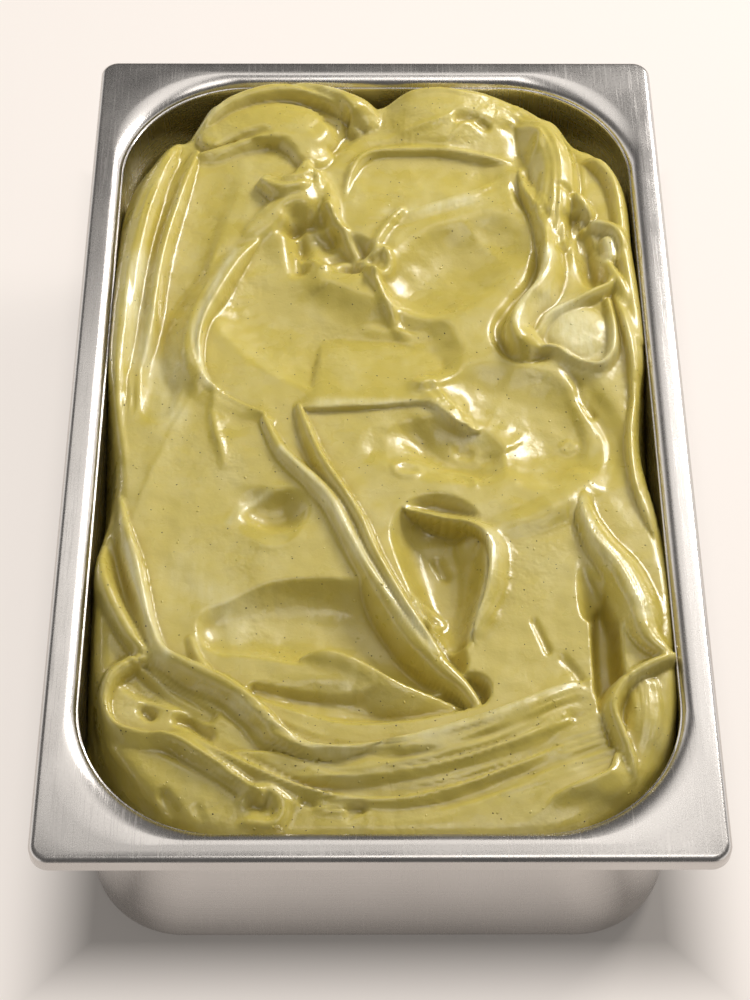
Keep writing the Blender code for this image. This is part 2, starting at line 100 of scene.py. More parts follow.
# The floor's darker patches; how far from the pan its glow starts and is full, the glow being
# painted light whose fade paints a shadow round the pan's foot; and the lights
FLOOR_SHADE = 0.985
GLOW_START = -0.02
GLOW_END = 0.05
LIGHT_AIM = (0.0, 0.0, 0.1)
LIGHT_COLOUR = (1.0, 0.97, 0.93)
LIGHTS = (
    ("key", (0.85, 0.98, 1.06), (0.55, 0.42), 1.0),
    ("overhead", (0.22, -0.16, 1.60), (0.80, 0.55), 0.19),
    ("back panel", (0.0, 0.86, 1.55), (1.40, 0.66), 0.19),
)

# The gelato: its fill line above the floor, the foot of its bank and the pitch of its grid
FILL_HEIGHT = 0.115
BANK_FOOT_HEIGHT = 0.074
STREWN_DEPTH = 0.016
STREWN_FACING = 0.35
GRAIN_BREADTH = 0.75
TOP_COLUMNS = 248
TOP_ROWS = 340
SPLINE_STEPS = 6
FILLET_STEPS = 3

# All that follows is in millimetres: x to the right, y to the back, height above the fill line.
# Plan points are given as they look in the fill plane from this eye point, in front and above.
EYE = (-9.4, -751.0, 944.0)
RELIEF = 1.6
BASE_LEVEL = -2.0
SWELL = 0.8
SWELL_ACROSS = 31.0
SWELL_ALONG = 43.0
JOIN_SHARE = 0.5
FRONT_FALL = 0.0010
FRONT_FALL_START = -172.0
EDGE_ROLL = 9.0
EDGE_SLOPE = 3.6
CREST_RADIUS = 0.9
LEAN = 0.45
REACH_DEPTH = 26.0
LINE_REACH = 4
PALE_AND_SHEEN_REACH = 3

# How the combed streaks vary in depth and in spacing, and over what distances
STREAK_DEPTH = 0.6
STREAK_CHANGE = 0.4
STREAK_ACROSS = 7.3
STREAK_ALONG = 11.1
STREAK_WANDER = 1.3
STREAK_WANDER_TURN = 0.37
STREAK_WANDER_ALONG = 23.0

# The free edge of the gelato, anticlockwise from the right. It runs past the wall at the front.
EDGE = (
    (149, 60), (144, 118), (144, 160), (138, 184), (127, 198), (116, 205), (106, 224), (93, 230),
    (80, 237), (62, 246), (30, 251), (6, 238), (-6, 239), (-20, 254), (-46, 262), (-72, 256),
    (-94, 238), (-105, 214), (-118, 204), (-128, 192), (-141, 166), (-147, 120), (-147, 50),
    (-141, 0), (-137, -36), (-138, -60), (-143, -86), (-143, -106), (-140, -154), (-133, -191),
    (-124, -208), (-115, -220), (-101, -233), (-79, -244), (-56, -248), (0, -249), (70, -248),
    (91, -245), (106, -236), (117, -228), (126, -219), (136, -203), (142, -187), (147, -160),
    (149, -110), (144, -60), (138, -20), (141, 20),
)

# Each move: what it does, half-width on its left and right, depth at that width, power of its
# section, softness of its join, and its path of points (x, y, height) or, where the width
# changes along it, (x, y, height, share of the width).
MOVES = (
    # Back: the hump, the upper dish and its rim
    ("fold", 11, 54, 9, 2, 5, ((2, 230, -3), (18, 239, 3), (34, 243, 5), (56, 240, 4), (80, 230, 1))),
    ("scoop", 25, 24, 7, 2.4, 4, ((0, 174, -2), (30, 175, -2.5), (60, 172, -3))),
    ("fold", 4, 3, 3, 1.3, 2, ((-18, 150, -2), (-17, 168, 0), (-12, 186, 1), (-2, 196, 1.4),
        (20, 198, 1.4), (42, 197, 1.2), (62, 192, 0.6), (78, 186, -1))),
    # Left third: the long trough, the outer bank and its stripes
    ("scoop", 17, 19, 6, 3, 3, ((-86, 192, -1, 1.2), (-90, 168, -2, 1.2), (-99, 132, -3),
        (-106, 95, -4, 0.85), (-112, 60, -5, 0.8), (-113, 28, -4, 0.8), (-116, 2, -2, 0.7))),
    ("fold", 9, 14, 8, 1.6, 3, ((-116, 208, 0), (-121, 190, 2), (-129, 160, 4), (-135, 118, 4.5),
        (-139, 76, 4), (-141, 36, 3), (-139, 4, 1), (-134, -24, 0), (-129, -56, -2))),
    ("fold", 3, 9, 4, 1.3, 2, ((-104, 194, 0), (-109, 176, 2.5), (-114, 152, 3), (-119, 126, 3),
        (-122, 98, 2.5), (-124, 62, 1), (-127, 34, -1), (-130, 8, -4))),
    # Middle: the wide dish, the round bowl and the small hollow between them
    ("scoop", 44, 46, 10, 2.4, 3, ((-62, 98, -4), (-54, 68, -6), (-24, 44, -7), (8, 37, -7))),
    ("scoop", 32, 33, 9, 2.4, 5, ((62, 118, -5), (46, 102, -7.5), (28, 86, -7))),
    ("scoop", 15, 14, 7, 2.2, 2.5, ((-34, 118, -5.5), (-14, 108, -6.5))),
    ("fold", 5, 9, 3, 1.4, 3, ((-16, 68, -6.5), (-4, 61, -5.6), (15, 56, -5.2), (34, 55, -5),
        (52, 62, -4.8), (64, 74, -4.8))),
    ("fold", 5, 9, 4, 1.4, 3, ((-14, 142, -3), (3, 141, -1.8), (17, 145, -1.2), (34, 153, -0.8),
        (54, 161, -1.2), (70, 170, -2.6))),
    ("fold", 5, 16, 7, 1.2, 3, ((-62, 132, -2, 0.7), (-76, 116, 1), (-88, 92, 3), (-97, 68, 3.5),
        (-99, 46, 3.5), (-94, 26, 3), (-82, 14, 2, 0.8), (-66, 4, 1, 0.6), (-56, -4, -1, 0.5))),
    # Right dish of two lobes, under the lip of the middle dish
    ("scoop", 34, 46, 9, 2.2, 4, ((64, 6, -5), (86, -6, -6.5), (94, -20, -7))),
    ("scoop", 22, 34, 8, 2.2, 3, ((4, -20, -2.5), (24, -22, -4.5), (48, -24, -6))),
    ("fold", 30, 2.5, 4, 1.2, 1.5, ((-42, 6, -1, 0.3), (-30, 7, 0.3), (0, 9, 0.6), (22, 11, 0.6),
        (32, 6, 0.4, 0.7), (42, -4, -0.6, 0.4), (52, -10, -3, 0.2))),
    ("fold", 12, 7, 5, 1.4, 3, ((14, 14, -1), (22, 21, 1), (34, 24, 0), (46, 32, -2), (56, 46, -4),
        (62, 62, -5))),
    # Left plates and the crater
    ("scoop", 36, 34, 4, 4, 3, ((-90, -14, -1.5), (-90, -60, -2), (-88, -100, -2))),
    ("scoop", 12, 12, 3, 2, 3, ((-60, -62, -4), (-50, -66, -5))),
    # Front left: the dull dish and the peak in its lower edge
    ("scoop", 25, 25, 8, 2.6, 2, ((-74, -138, -5, 0.8), (-44, -137, -8), (-8, -142, -9),
        (22, -162, -10, 0.8))),
    # Pocket between the central ridge and the right plate
    ("scoop", 26, 25, 11, 2.6, 2, ((29, -86, -10), (32, -108, -11, 0.85), (34, -130, -11, 0.6),
        (36, -146, -8, 0.35))),
    ("scoop", 22, 22, 4, 4, 3, ((80, -86, -0.5), (80, -120, -1), (78, -154, -2))),
    # Front: the valley over the waves, then the waves one below the other
    ("scoop", 12, 9, 8, 2, 2, ((-60, -172, -3, 0.6), (-20, -184, -5), (14, -184, -8),
        (44, -180, -11, 0.8))),
    ("fold", 5, 26, 9, 1.5, 2, ((-120, -206, -3), (-84, -206, -1), (-50, -206, 1), (-16, -204, 2),
        (20, -196, 3.5), (54, -185, 3.5), (84, -172, 2), (102, -166, -1))),
    ("fold", 3, 12, 5, 1.3, 1.5, ((-44, -208, -1), (-12, -208, 2.5), (16, -203, 3.5), (46, -194, 3.5),
        (70, -184, 2.5), (92, -174, 0))),
    ("fold", 3, 11, 5, 1.3, 1.5, ((-60, -214, -1), (-20, -217, 1), (22, -212, 2), (60, -200, 2),
        (90, -186, 0))),
    ("fold", 3, 15, 6, 1.3, 1.5, ((-98, -192, -1), (-84, -200, 1.5), (-66, -210, 2), (-44, -220, 1.5),
        (-18, -228, 1), (14, -228, 0.5), (50, -218, 0), (84, -203, -1), (100, -194, -3))),
    # Back left: the plate, the rolled cap over it, the tongue and the blob below
    ("fold", 27, 9, 7, 5, 2, ((-90, 206, 2, 0.8), (-68, 215, 4), (-48, 213, 4), (-40, 208, 3, 0.8))),
    ("fold", 15, 12, 7, 4, 2, ((-50, 214, 4), (-42, 206, 3.6), (-38, 197, 2.6))),
    ("fold", 3, 8, 5, 1.3, 1.5, ((-108, 188, -1), (-97, 195, 2), (-84, 204, 3), (-66, 209, 3),
        (-59, 205, 2, 0.6), (-56, 196, -1, 0.4))),
    ("fold", 10, 6, 8, 1.9, 1, ((-106, 202, -1, 0.8), (-102, 218, 3), (-91, 233, 5), (-72, 245, 6),
        (-50, 250, 6.4), (-30, 247, 6.4), (-15, 239, 6.4, 1.3), (-10, 230, 5.6, 1.4), (-12, 219, 2))),
    ("fold", 19, 17, 9, 2, 2, ((-40, 176, 3, 0.8), (-46, 160, 3.5), (-58, 148, 2, 0.9),
        (-70, 134, 0.5, 0.7), (-77, 124, -1.5, 0.5))),
    ("fold", 10, 10, 9, 2.4, 1, ((-40, 186, 3, 0.6), (-44, 176, 6), (-54, 172, 6), (-63, 176, 5, 0.6))),
    ("scoop", 5, 5, 2.5, 2, 1.2, ((-62, 181, 4.5, 0.6), (-50, 179, 3.5), (-38, 182, 4.5, 0.6))),
    # Right: the arch, the lobes at the wall and the long rope with its round end
    ("fold", 13, 17, 9, 2, 2.5, ((84, 222, 0, 0.8), (94, 216, 4.5), (102, 203, 6), (105, 185, 6),
        (104, 166, 5.5), (101, 148, 4.5, 0.8), (103, 126, 2, 0.6))),
    ("fold", 7, 7, 7, 1.7, 1.5, ((118, 186, -1), (128, 188, 2.5), (136, 174, 3), (139, 150, 3),
        (140, 116, 3), (141, 84, 2), (142, 54, 1))),
    ("scoop", 7, 9, 7, 2, 2, ((112, 136, -2), (115, 118, -4), (118, 102, -4), (118, 92, -3))),
    ("fold", 7, 7, 6, 2, 1.2, ((106, 160, 4), (114, 160, 5), (118, 150, 4), (116, 140, 0, 0.6))),
    ("fold", 4, 4, 4, 1.6, 1.2, ((118, 134, 0), (124, 140, 3), (134, 137, 4), (139, 126, 4),
        (137, 112, 2))),
    ("fold", 8, 6, 6, 2, 1.2, ((130, 126, 2), (130, 116, 2))),
    ("fold", 5, 5, 5, 1.6, 1.2, ((124, 118, 0), (130, 106, 3), (136, 92, 3), (138, 78, 1))),
    ("fold", 10, 5, 8, 1.6, 1.5, ((82, 184, -2, 0.6), (86, 166, 2, 0.8), (93, 148, 4.5),
        (96, 128, 5.5), (96, 110, 6), (91, 95, 6.5), (82, 82, 6.5), (76, 68, 6.5, 1.2),
        (78, 56, 6, 1.4))),
    ("fold", 22, 16, 5, 4, 1.2, ((108, 64, 0.6), (106, 58, 0.6))),
    ("fold", 2.5, 2.5, 3, 1.3, 1, ((88, 58, 1), (94, 70, 2), (106, 79, 2.4), (118, 87, 3),
        (130, 96, 3), (128, 106, 2))),
    ("fold", 2.5, 2, 3, 1.3, 1, ((86, 46, 1.5), (96, 48, 1.8), (104, 42, 1.8), (113, 37, 1.8),
        (122, 37, 1.8), (128, 47, 1.8), (129, 64, 1.8), (127, 82, 1.5))),
    ("fold", 9, 3.5, 7, 1.5, 2, ((130, 92, -1), (136, 70, 2.5), (139, 44, 3), (138, 16, 2.5),
        (134, -10, 2), (134, -38, 2), (139, -66, 1), (143, -86, -2))),
    # Lip over the pocket, the fold down from the dish and the central ridge
    ("fold", 14, 3, 8, 1.3, 1.5, ((-2, -56, -3, 0.4), (16, -60, -1, 0.5), (34, -65, 0, 0.7),
        (48, -68, 1.5, 0.7), (57, -76, 2.5), (59, -92, 2.5), (56, -112, 2), (50, -132, 0.5),
        (48, -146, -2, 0.7))),
    ("fold", 16, 16, 5, 1.6, 3, ((64, -72, 0), (80, -66, 0.5), (96, -56, 1), (108, -46, 0))),
    ("fold", 4, 5, 6, 1.3, 1.5, ((-42, 8, 1, 0.7), (-37, -8, 2.5), (-29, -28, 3.5), (-18, -48, 4),
        (-9, -66, 4), (-2, -86, 4), (8, -108, 3.5), (18, -128, 2.5), (30, -150, 0))),
    ("fold", 7, 7, 7, 2, 1.5, ((-60, -2, 0, 0.5), (-50, -24, 0.5, 0.8), (-34, -42, 1.5),
        (-22, -58, 2), (-13, -80, 2), (-2, -104, 2), (14, -134, 1), (30, -154, 0),
        (42, -168, -1.5, 0.7), (50, -184, -3, 0.5))),
    # The step and the folds that drop from the dull dish into the waves
    ("fold", 3, 14, 6, 1.4, 1.5, ((-42, -158, -4), (-34, -151, 0), (-24, -149, 1.5), (-10, -155, 1),
        (8, -167, 0), (26, -176, -3), (42, -184, -7))),
    ("fold", 4, 5, 5, 1.4, 1.5, ((-93, -140, 0), (-88, -152, 1), (-78, -164, 1.5), (-66, -174, 1))),
    # Left ropes and the loop
    ("fold", 7, 7, 8, 1.9, 1.5, ((-140, -84, 0, 0.7), (-141, -97, 3), (-134, -114, 3.5, 0.9),
        (-125, -132, 3.5, 0.8), (-116, -146, 2.5, 0.7), (-104, -158, 0, 0.6))),
    ("fold", 5, 9, 8, 1.6, 1.2, ((-134, -50, -1, 0.6), (-130, -70, 3, 0.8), (-124, -90, 4),
        (-119, -112, 4), (-114, -132, 4), (-107, -146, 4), (-92, -155, 4, 1.2), (-74, -165, 4, 1.3),
        (-60, -178, 4, 1.3), (-47, -193, 4, 1.3), (-32, -201, 3.5, 1.2), (-8, -201, 3),
        (20, -195, 1, 0.7))),
    ("scoop", 10, 9, 6, 2.4, 1.5, ((-122, -165, -3), (-112, -172, -4), (-98, -176, -3),
        (-82, -186, -3, 0.7))),
    ("fold", 4, 6, 6, 1.5, 1.5, ((-108, -150, 1, 0.7), (-122, -152, 2.5), (-132, -162, 3),
        (-134, -176, 3), (-128, -188, 3), (-114, -193, 3), (-98, -195, 3), (-84, -205, 3),
        (-70, -215, 2.5), (-56, -226, 1, 0.7))),
    # Front right: the ribbon, the deep pocket beside it and the lens
    ("scoop", 8, 9, 6, 2, 2.5, ((102, -84, 0, 0.5), (103, -100, -2, 0.8), (106, -116, -5),
        (109, -130, -9))),
    ("scoop", 7, 6, 9, 3, 1, ((110, -132, -11), (109, -160, -13), (110, -186, -12),
        (112, -204, -8, 0.7))),
    ("fold", 14, 9, 8, 1.8, 1.5, ((108, -46, -1, 0.4), (106, -60, 3, 0.6), (112, -78, 4.5, 0.8),
        (122, -96, 5), (129, -116, 5), (132, -134, 4.5, 0.8), (142, -148, 3, 0.5))),
    ("fold", 11, 12, 6, 2.4, 1.2, ((130, -168, 0.5), (129, -188, 0.5), (124, -208, -2, 0.7))),
    ("fold", 3, 4, 5, 1.4, 1, ((146, -148, 3), (132, -154, 4), (119, -164, 4), (113, -177, 4),
        (116, -191, 3.5), (120, -207, 2), (120, -224, -2))),
    ("fold", 4, 16, 6, 1.5, 1.5, ((68, -246, -4), (80, -232, -1), (94, -222, 1), (110, -215, 2),
        (114, -206, 1, 0.6))),
)

# Each fine line: half-width on its left and right, power of its section, and its path of points
# (x, y, height added). A negative height draws a groove or a hollow.
LINES = (
    # Strings over the hollow, and the loop round it
    (2.4, 2.4, 2, ((-28, 152, 3), (-18, 134, 4), (-8, 118, 5), (0, 101, 5), (6, 84, 3), (11, 68, 2),
        (22, 57, 1), (40, 54, 0))),
    (2.0, 2.0, 2, ((14, 152, 3), (6, 140, 3), (0, 128, 3), (-4, 118, 2))),
    (2.0, 2.0, 2, ((-4, 118, 2), (4, 122, 3), (8, 113, 3), (5, 106, 3), (-1, 104, 3))),
    (2.4, 2.4, 2, ((-32, 104, 0), (-27, 113, 3), (-18, 119, 4), (-10, 116, 4), (-4, 118, 3))),
    (4, 4, 2, ((-33, 178, 3), (-28, 165, 4), (-26, 152, 4), (-26, 146, 2))),
    # Hollows beside the strings
    (5, 5, 2, ((-46, 138, -6), (-44, 120, -8), (-42, 104, -6))),
    (6, 6, 2, ((-34, 136, -5), (-27, 128, -5))),
    (8, 8, 2, ((-22, 107, -5), (-8, 107, -5))),
    # Inside the arch
    (7, 6, 2, ((82, 208, -3), (86, 198, -4), (84, 188, -2))),
    (2.2, 3.5, 1, ((78, 218, 2), (92, 210, 3), (94, 200, 3), (90, 190, 2), (85, 182, 1))),
    (2.5, 2.5, 2, ((48, 212, -3), (56, 211, -4), (63, 208, -3))),
    (2.0, 2.0, 1, ((42, 200, 1), (52, 213, 2), (60, 218, 2))),
    (6, 6, 2, ((122, 112, -4), (120, 100, -5), (124, 93, -3))),
    # The pale pool and its rims
    (2.0, 2.5, 1, ((84, 52, 1), (88, 60, 2), (93, 71, 2), (103, 80, 2), (115, 88, 2), (128, 95, 2))),
    (2.5, 2.0, 1, ((80, 40, 1), (90, 47, 2), (97, 43, 2), (105, 35, 2), (113, 32, 2), (122, 34, 2),
        (127, 45, 2), (128, 62, 2), (126, 76, 1))),
    # Left plate: the fin, faint ridges and the crater
    (6, 2.2, 1, ((-88, 20, 1), (-87, 0, 3), (-82, -20, 3), (-80, -35, 0))),
    (5, 2, 1, ((-95, 20, 0.5), (-105, 0, 0.8), (-112, -20, 0.8), (-120, -45, 0.8), (-127, -75, 0.5))),
    (10, 10, 2, ((-66, -58, -3), (-58, -66, -4), (-50, -64, -3))),
    (2.5, 5, 1, ((-76, -70, 1), (-68, -55, 2), (-56, -48, 2), (-46, -46, 1))),
    (3, 3, 1, ((-68, -76, 0.5), (-56, -83, 1.5), (-44, -80, 1), (-38, -68, 0.5))),
    # Central ridge: its second crest line
    (5, 4, 1, ((-62, 2, 1), (-52, -20, 2), (-40, -36, 2.5), (-27, -52, 2.5), (-19, -72, 2.5),
        (-10, -92, 2.5), (2, -112, 2.5), (14, -130, 2), (25, -147, 1))),
    # Right dish: inner fold, bubbles and marks
    (7, 3, 1, ((22, 22, 1), (32, 10, 2), (42, -2, 2), (52, -9, 1))),
    (1.2, 1.2, 2, ((8, -31, 1), (13, -28, 1), (20, -30, 1), (22, -35, 1), (16, -38, 1), (10, -36, 1),
        (8, -31, 1))),
    (1.4, 1.4, 2, ((37, -33, 0.5), (45, -34, 1.2), (50, -39, 1.2), (50, -45, 0.5))),
    (3, 3, 2, ((44, -19, -1.5), (47, -20, -1.5))),
    (3, 3, 2, ((57, -24, -1.2), (60, -25, -1.2))),
    (1.5, 1.5, 2, ((101, -10, 1), (104, -13, 1), (101, -15, 1), (98, -13, 1), (101, -10, 1))),
    # Pocket marks, the slit and the hollow behind the ribbon
    (2, 2, 2, ((30, -85, -1.5), (34, -93, -1.5))),
    (1.5, 1.5, 2, ((20, -112, 1.5), (28, -116, 2), (32, -122, 1.5), (24, -126, 1.5), (18, -120, 1.5),
        (20, -112, 1.5))),
    (1.1, 1.1, 2, ((77, -130, -1.4), (80, -138, -1.6), (83, -147, -1.4))),
    # Front: small hollows, the slit in the rope and the curls near the wall
    (5, 4, 2, ((-42, -171, -2), (-28, -173, -3), (-15, -172, -2))),
    (2.4, 2.4, 2, ((-96, -187, -4), (-90, -190, -6), (-82, -196, -3))),
    (2.4, 2.4, 2, ((-113, -182, -4), (-110, -185, -5))),
    (2.2, 2.2, 2, ((-102, -226, -3), (-97, -233, -3))),
    (2.5, 2.5, 2, ((-64, -226, 2), (-54, -223, 3), (-46, -230, 3), (-50, -238, 3), (-62, -238, 2))),
    (2.5, 2.5, 2, ((-60, -230, -3), (-56, -231, -3))),
    (1.8, 1.8, 2, ((-86, -233, -1), (-84, -236, -1))),
    (1.8, 1.8, 2, ((-36, -231, -2), (-33, -232, -2))),
    (2, 1.8, 2, ((-14, -236, -2), (-9, -235, -2.6))),
    (3, 7, 1, ((72, -236, 1), (85, -226, 2.5), (97, -222, 2.5), (110, -217, 1.5))),
    # Thin crests along the cap, its plate and the flap, and thin lines in the waves
    (1.5, 2.2, 1, ((-99, 216, 0.8), (-86, 230, 1.2), (-68, 239, 1.2), (-48, 243, 1.2), (-30, 240, 1))),
    (2.0, 1.6, 1, ((-86, 222, 0.6), (-72, 233, 1), (-55, 233, 1), (-36, 229, 1), (-25, 223, 1),
        (-20, 215, 1), (-25, 204, 1), (-33, 195, 0.6))),
    (1.5, 1.5, 1, ((20, 18, 0.8), (28, 24, 1.5), (33, 19, 1.5), (39, 9, 1.5), (47, 4, 1.2))),
    (2.2, 2.2, 2, ((43, 4, 1.2), (47, 1, 1.4), (47, -3, 1))),
    (1.4, 2.2, 1, ((8, -201, 0.6), (28, -204, 1.2), (45, -198, 1.2), (64, -188, 0.6))),
    (1.4, 1.4, 2, ((90, -151, -1), (95, -159, -2), (100, -168, -1.5))),
    (1.6, 1.6, 2, ((101, 34, -0.6), (107, 24, -1.4), (108, 14, -1), (114, 4, -1.4))),
    (2.0, 1.4, 1, ((14, -205, 0.5), (-20, -213, 1.2), (-44, -208, 1.2), (-60, -196, 1))),
    (1.2, 1.6, 1, ((-104, -196, 0.8), (-86, -206, 1.2), (-70, -216, 1.2), (-56, -226, 0.8))),
    (1.4, 1.4, 1, ((8, 232, 0.6), (22, 235, 1.2), (40, 236, 1.2), (62, 233, 0.8))),
    (1.4, 1.4, 1, ((-4, 205, 0.4), (20, 209, 1), (38, 214, 1.2), (50, 222, 0.6))),
    # The curved valley and the ridge in the right dish, and the valley left of it
    (6.0, 4.0, 2, ((99, 38, 0), (108, 22, -3), (116, 4, -4.5), (123, -14, -4.5), (122, -30, -3.5),
        (115, -46, 0))),
    (3.0, 2.4, 2, ((102, 24, 0), (108, 6, 1.4), (112, -12, 1.4), (107, -30, 0))),
    (6.0, 6.0, 2, ((10, 6, 0), (18, -10, -2.6), (30, -24, -3.2), (50, -33, -2.4), (72, -34, 0))),
    # Creases beside and under the ropes, the cap, the lens and the blob
    (2.0, 4.0, 2, ((-112, -152, 0), (-96, -166, -2.5), (-78, -176, -3), (-64, -188, -3),
        (-52, -203, -3), (-34, -210, -3), (-8, -209, -2), (14, -205, 0))),
    (1.6, 1.6, 2, ((-136, -74, 0), (-131, -98, -3), (-122, -124, -3), (-112, -146, 0))),
    (2.0, 2.0, 2, ((-138, -160, 0), (-138, -178, -2.5), (-128, -195, -2.5), (-108, -200, -2.5),
        (-92, -208, -2.5), (-76, -218, -2.5), (-62, -228, 0))),
    (1.8, 1.8, 2, ((-40, -214, 0), (-12, -213, -2), (20, -208, -2), (50, -198, -2), (84, -183, 0))),
    (1.8, 1.8, 2, ((-52, -219, 0), (-22, -223, -2), (8, -221, -2), (36, -215, -2), (64, -205, -2),
        (92, -190, 0))),
    (2.0, 2.0, 2, ((-84, -208, 0), (-60, -220, -2), (-36, -229, -2.2), (-8, -234, -2.2),
        (24, -232, -2), (60, -220, -2), (92, -203, 0))),
    (1.8, 1.6, 2, ((-96, 224, 0), (-86, 235, -2.5), (-68, 241, -3), (-52, 240, -3), (-34, 234, -3),
        (-22, 227, -3), (-17, 215, -2), (-24, 205, 0))),
    (4.0, 4.0, 2, ((-2, 224, 0), (-8, 214, -3), (-20, 201, -4), (-32, 188, -2))),
    (2.2, 2.2, 2, ((-100, 186, 0), (-88, 194, -3), (-76, 200, -3.5), (-66, 205, -2), (-60, 204, 0))),
    (2.4, 2.2, 2, ((79, 178, 0), (81, 160, -2.5), (88, 144, -3), (91, 128, -3), (90, 112, -3),
        (84, 92, -3), (73, 76, -3), (65, 60, -3), (68, 45, -3), (78, 38, -3), (90, 40, -2),
        (96, 42, 0))),
    (2.2, 2.2, 2, ((-68, 174, 0), (-62, 166, -3), (-52, 161, -3.5), (-41, 164, -3), (-33, 172, 0))),
    (2.4, 2.2, 2, ((-58, 134, 0), (-50, 133, -3), (-40, 137, -3.5), (-30, 140, -2))),
    (1.4, 1.4, 2, ((99, 160, 0), (108, 156, -2.5), (111, 146, -3), (117, 138, -2), (120, 130, 0))),
    (1.6, 1.6, 2, ((-108, 190, 0), (-114, 168, -1.6), (-120, 142, -1.6), (-125, 112, -1.6),
        (-128, 76, -1.2), (-130, 40, 0))),
    (1.4, 1.8, 1, ((-90, 100, 0), (-100, 78, 1), (-105, 52, 1), (-103, 32, 1), (-95, 16, 0))),
    (1.4, 1.4, 2, ((-88, 92, 0), (-96, 74, -1.6), (-100, 52, -1.6), (-98, 34, -1.6), (-91, 20, 0))),
)

# Each comb of fine parallel streaks: half-width, pitch, height and its path of points (x, y).
COMBS = (
    (18, 5.0, 0.9, ((84, 216), (98, 204), (104, 180), (102, 150), (98, 118))),
    (9, 3.2, 0.7, ((86, 160), (94, 140), (98, 118), (94, 98), (84, 80), (79, 64))),
    (9, 3.0, 0.7, ((104, -62), (108, -82), (120, -100), (128, -120), (136, -146))),
    (8, 2.8, 0.6, ((-56, -6), (-44, -28), (-30, -50), (-16, -80), (0, -110), (20, -140))),
    (13, 4.4, 0.9, ((-118, -152), (-96, -170), (-60, -190), (-20, -206), (20, -206), (60, -194),
        (94, -178))),
    (13, 4.6, 0.7, ((-70, -210), (-30, -226), (20, -226), (70, -212), (104, -200))),
    (10, 3.8, 0.6, ((-104, 216), (-84, 236), (-56, 246), (-26, 244), (-8, 232))),
    (9, 4.0, 0.6, ((-114, 190), (-128, 150), (-134, 100), (-134, 50), (-132, 10))),
    (9, 3.2, 0.6, ((56, -84), (58, -110), (46, -134), (36, -150))),
    (13, 3.8, 0.5, ((124, -160), (126, -184), (120, -206))),
    (7, 3.2, 0.6, ((-92, 92), (-101, 66), (-102, 44), (-94, 22), (-78, 12))),
    (8, 3.6, 0.6, ((-136, -74), (-124, -110), (-110, -146))),
    (12, 5.2, 0.5, ((10, 238), (40, 240), (74, 230))),
    (7, 3.4, 0.5, ((-10, 140), (12, 143), (36, 152), (60, 163))),
    (6, 3.0, 0.5, ((136, 60), (139, 20), (135, -30), (140, -76))),
)

# Each paler patch, partly from whipping air into the gelato and partly painted sheen on crests and
# the pool: radius, strength and its path (x, y).
PALE_AND_SHEEN = (
    (8, 0.9, ((-131, 104), (-131, 70), (-128, 42))),
    (9, 0.5, ((-116, 38), (-114, 20), (-108, 4))),
    (12, 0.35, ((-98, -100), (-84, -114), (-74, -122))),
    (14, 0.85, ((98, 72), (108, 56), (118, 46))),
    (3, 0.6, ((-76, -68), (-68, -55), (-57, -49))),
    (3, 0.7, ((-50, -24), (-30, -50), (-10, -90), (12, -126), (26, -146))),
    (5, 0.5, ((6, 148), (30, 152), (52, 159))),
    (4, 0.6, ((118, 140), (130, 124), (128, 110))),
    (4, 0.5, ((104, -58), (110, -84), (124, -106), (132, -130))),
    (4, 0.6, ((-128, -88), (-118, -120), (-104, -152))),
    (3, 0.4, ((-70, -178), (-45, -196), (-20, -206), (20, -200), (60, -186), (94, -170))),
    (5, 0.5, ((58, -78), (58, -100), (46, -134))),
    (5, 0.5, ((-104, 214), (-84, 238), (-50, 248), (-20, 240))),
    (3, 0.7, ((-80, 120), (-90, 92), (-99, 60), (-98, 40), (-90, 20))),
    (4, 0.7, ((97, 110), (90, 90), (80, 72), (79, 58))),
    (3, 0.5, ((-30, 10), (0, 10), (24, 8), (42, -4), (54, -11))),
)


class Field:
    """A number in a node tree, so that a formula is written as one."""

    def __init__(self, tree, socket):
        self.tree = tree
        self.socket = socket

    def math(self, operation, *others):
        made = self.tree.nodes.new("ShaderNodeMath")
        made.operation = operation
        for target, value in zip(made.inputs, (self, *others)):
            if isinstance(value, Field):
                self.tree.links.new(value.socket, target)
            else:
                target.default_value = value
        return Field(self.tree, made.outputs[0])

    def __add__(self, other):
        return self.math("ADD", other)

    def __sub__(self, other):
        return self.math("SUBTRACT", other)

    def __mul__(self, other):
        return self.math("MULTIPLY", other)

    def __truediv__(self, other):
        return self.math("DIVIDE", other)


def add_node(tree, kind, links=None, **settings):
    """One node with its settings, whose inputs are linked to sockets or set to values."""
    made = tree.nodes.new(kind)
    for name, value in settings.items():
        setattr(made, name, value)
    for name, value in (links or {}).items():
        value = value.socket if isinstance(value, Field) else value
        if isinstance(value, bpy.types.NodeSocket):
            tree.links.new(value, made.inputs[name])
        else:
            made.inputs[name].default_value = value
    return made


def new_group(kind, name, inputs, output, output_type):
    """A node group with its named sockets, and its input and output nodes.

    An input is given with its default, or with the type of its socket where it has none.
    """
    tree = bpy.data.node_groups.new(name, kind)
    for label, default in inputs.items():
        if isinstance(default, str):
            tree.interface.new_socket(label, in_out="INPUT", socket_type=default)
            continue
        socket_type = "NodeSocketInt" if isinstance(default, int) else "NodeSocketFloat"
        socket = tree.interface.new_socket(label, in_out="INPUT", socket_type=socket_type)
        socket.default_value = default
    tree.interface.new_socket(output, in_out="OUTPUT", socket_type=output_type)
    return tree, tree.nodes.new("NodeGroupInput"), tree.nodes.new("NodeGroupOutput")


def part_of(tree, vector, axis):
    """One coordinate of a vector, as a number."""
    return Field(tree, add_node(tree, "ShaderNodeSeparateXYZ", {"Vector": vector}).outputs[axis])


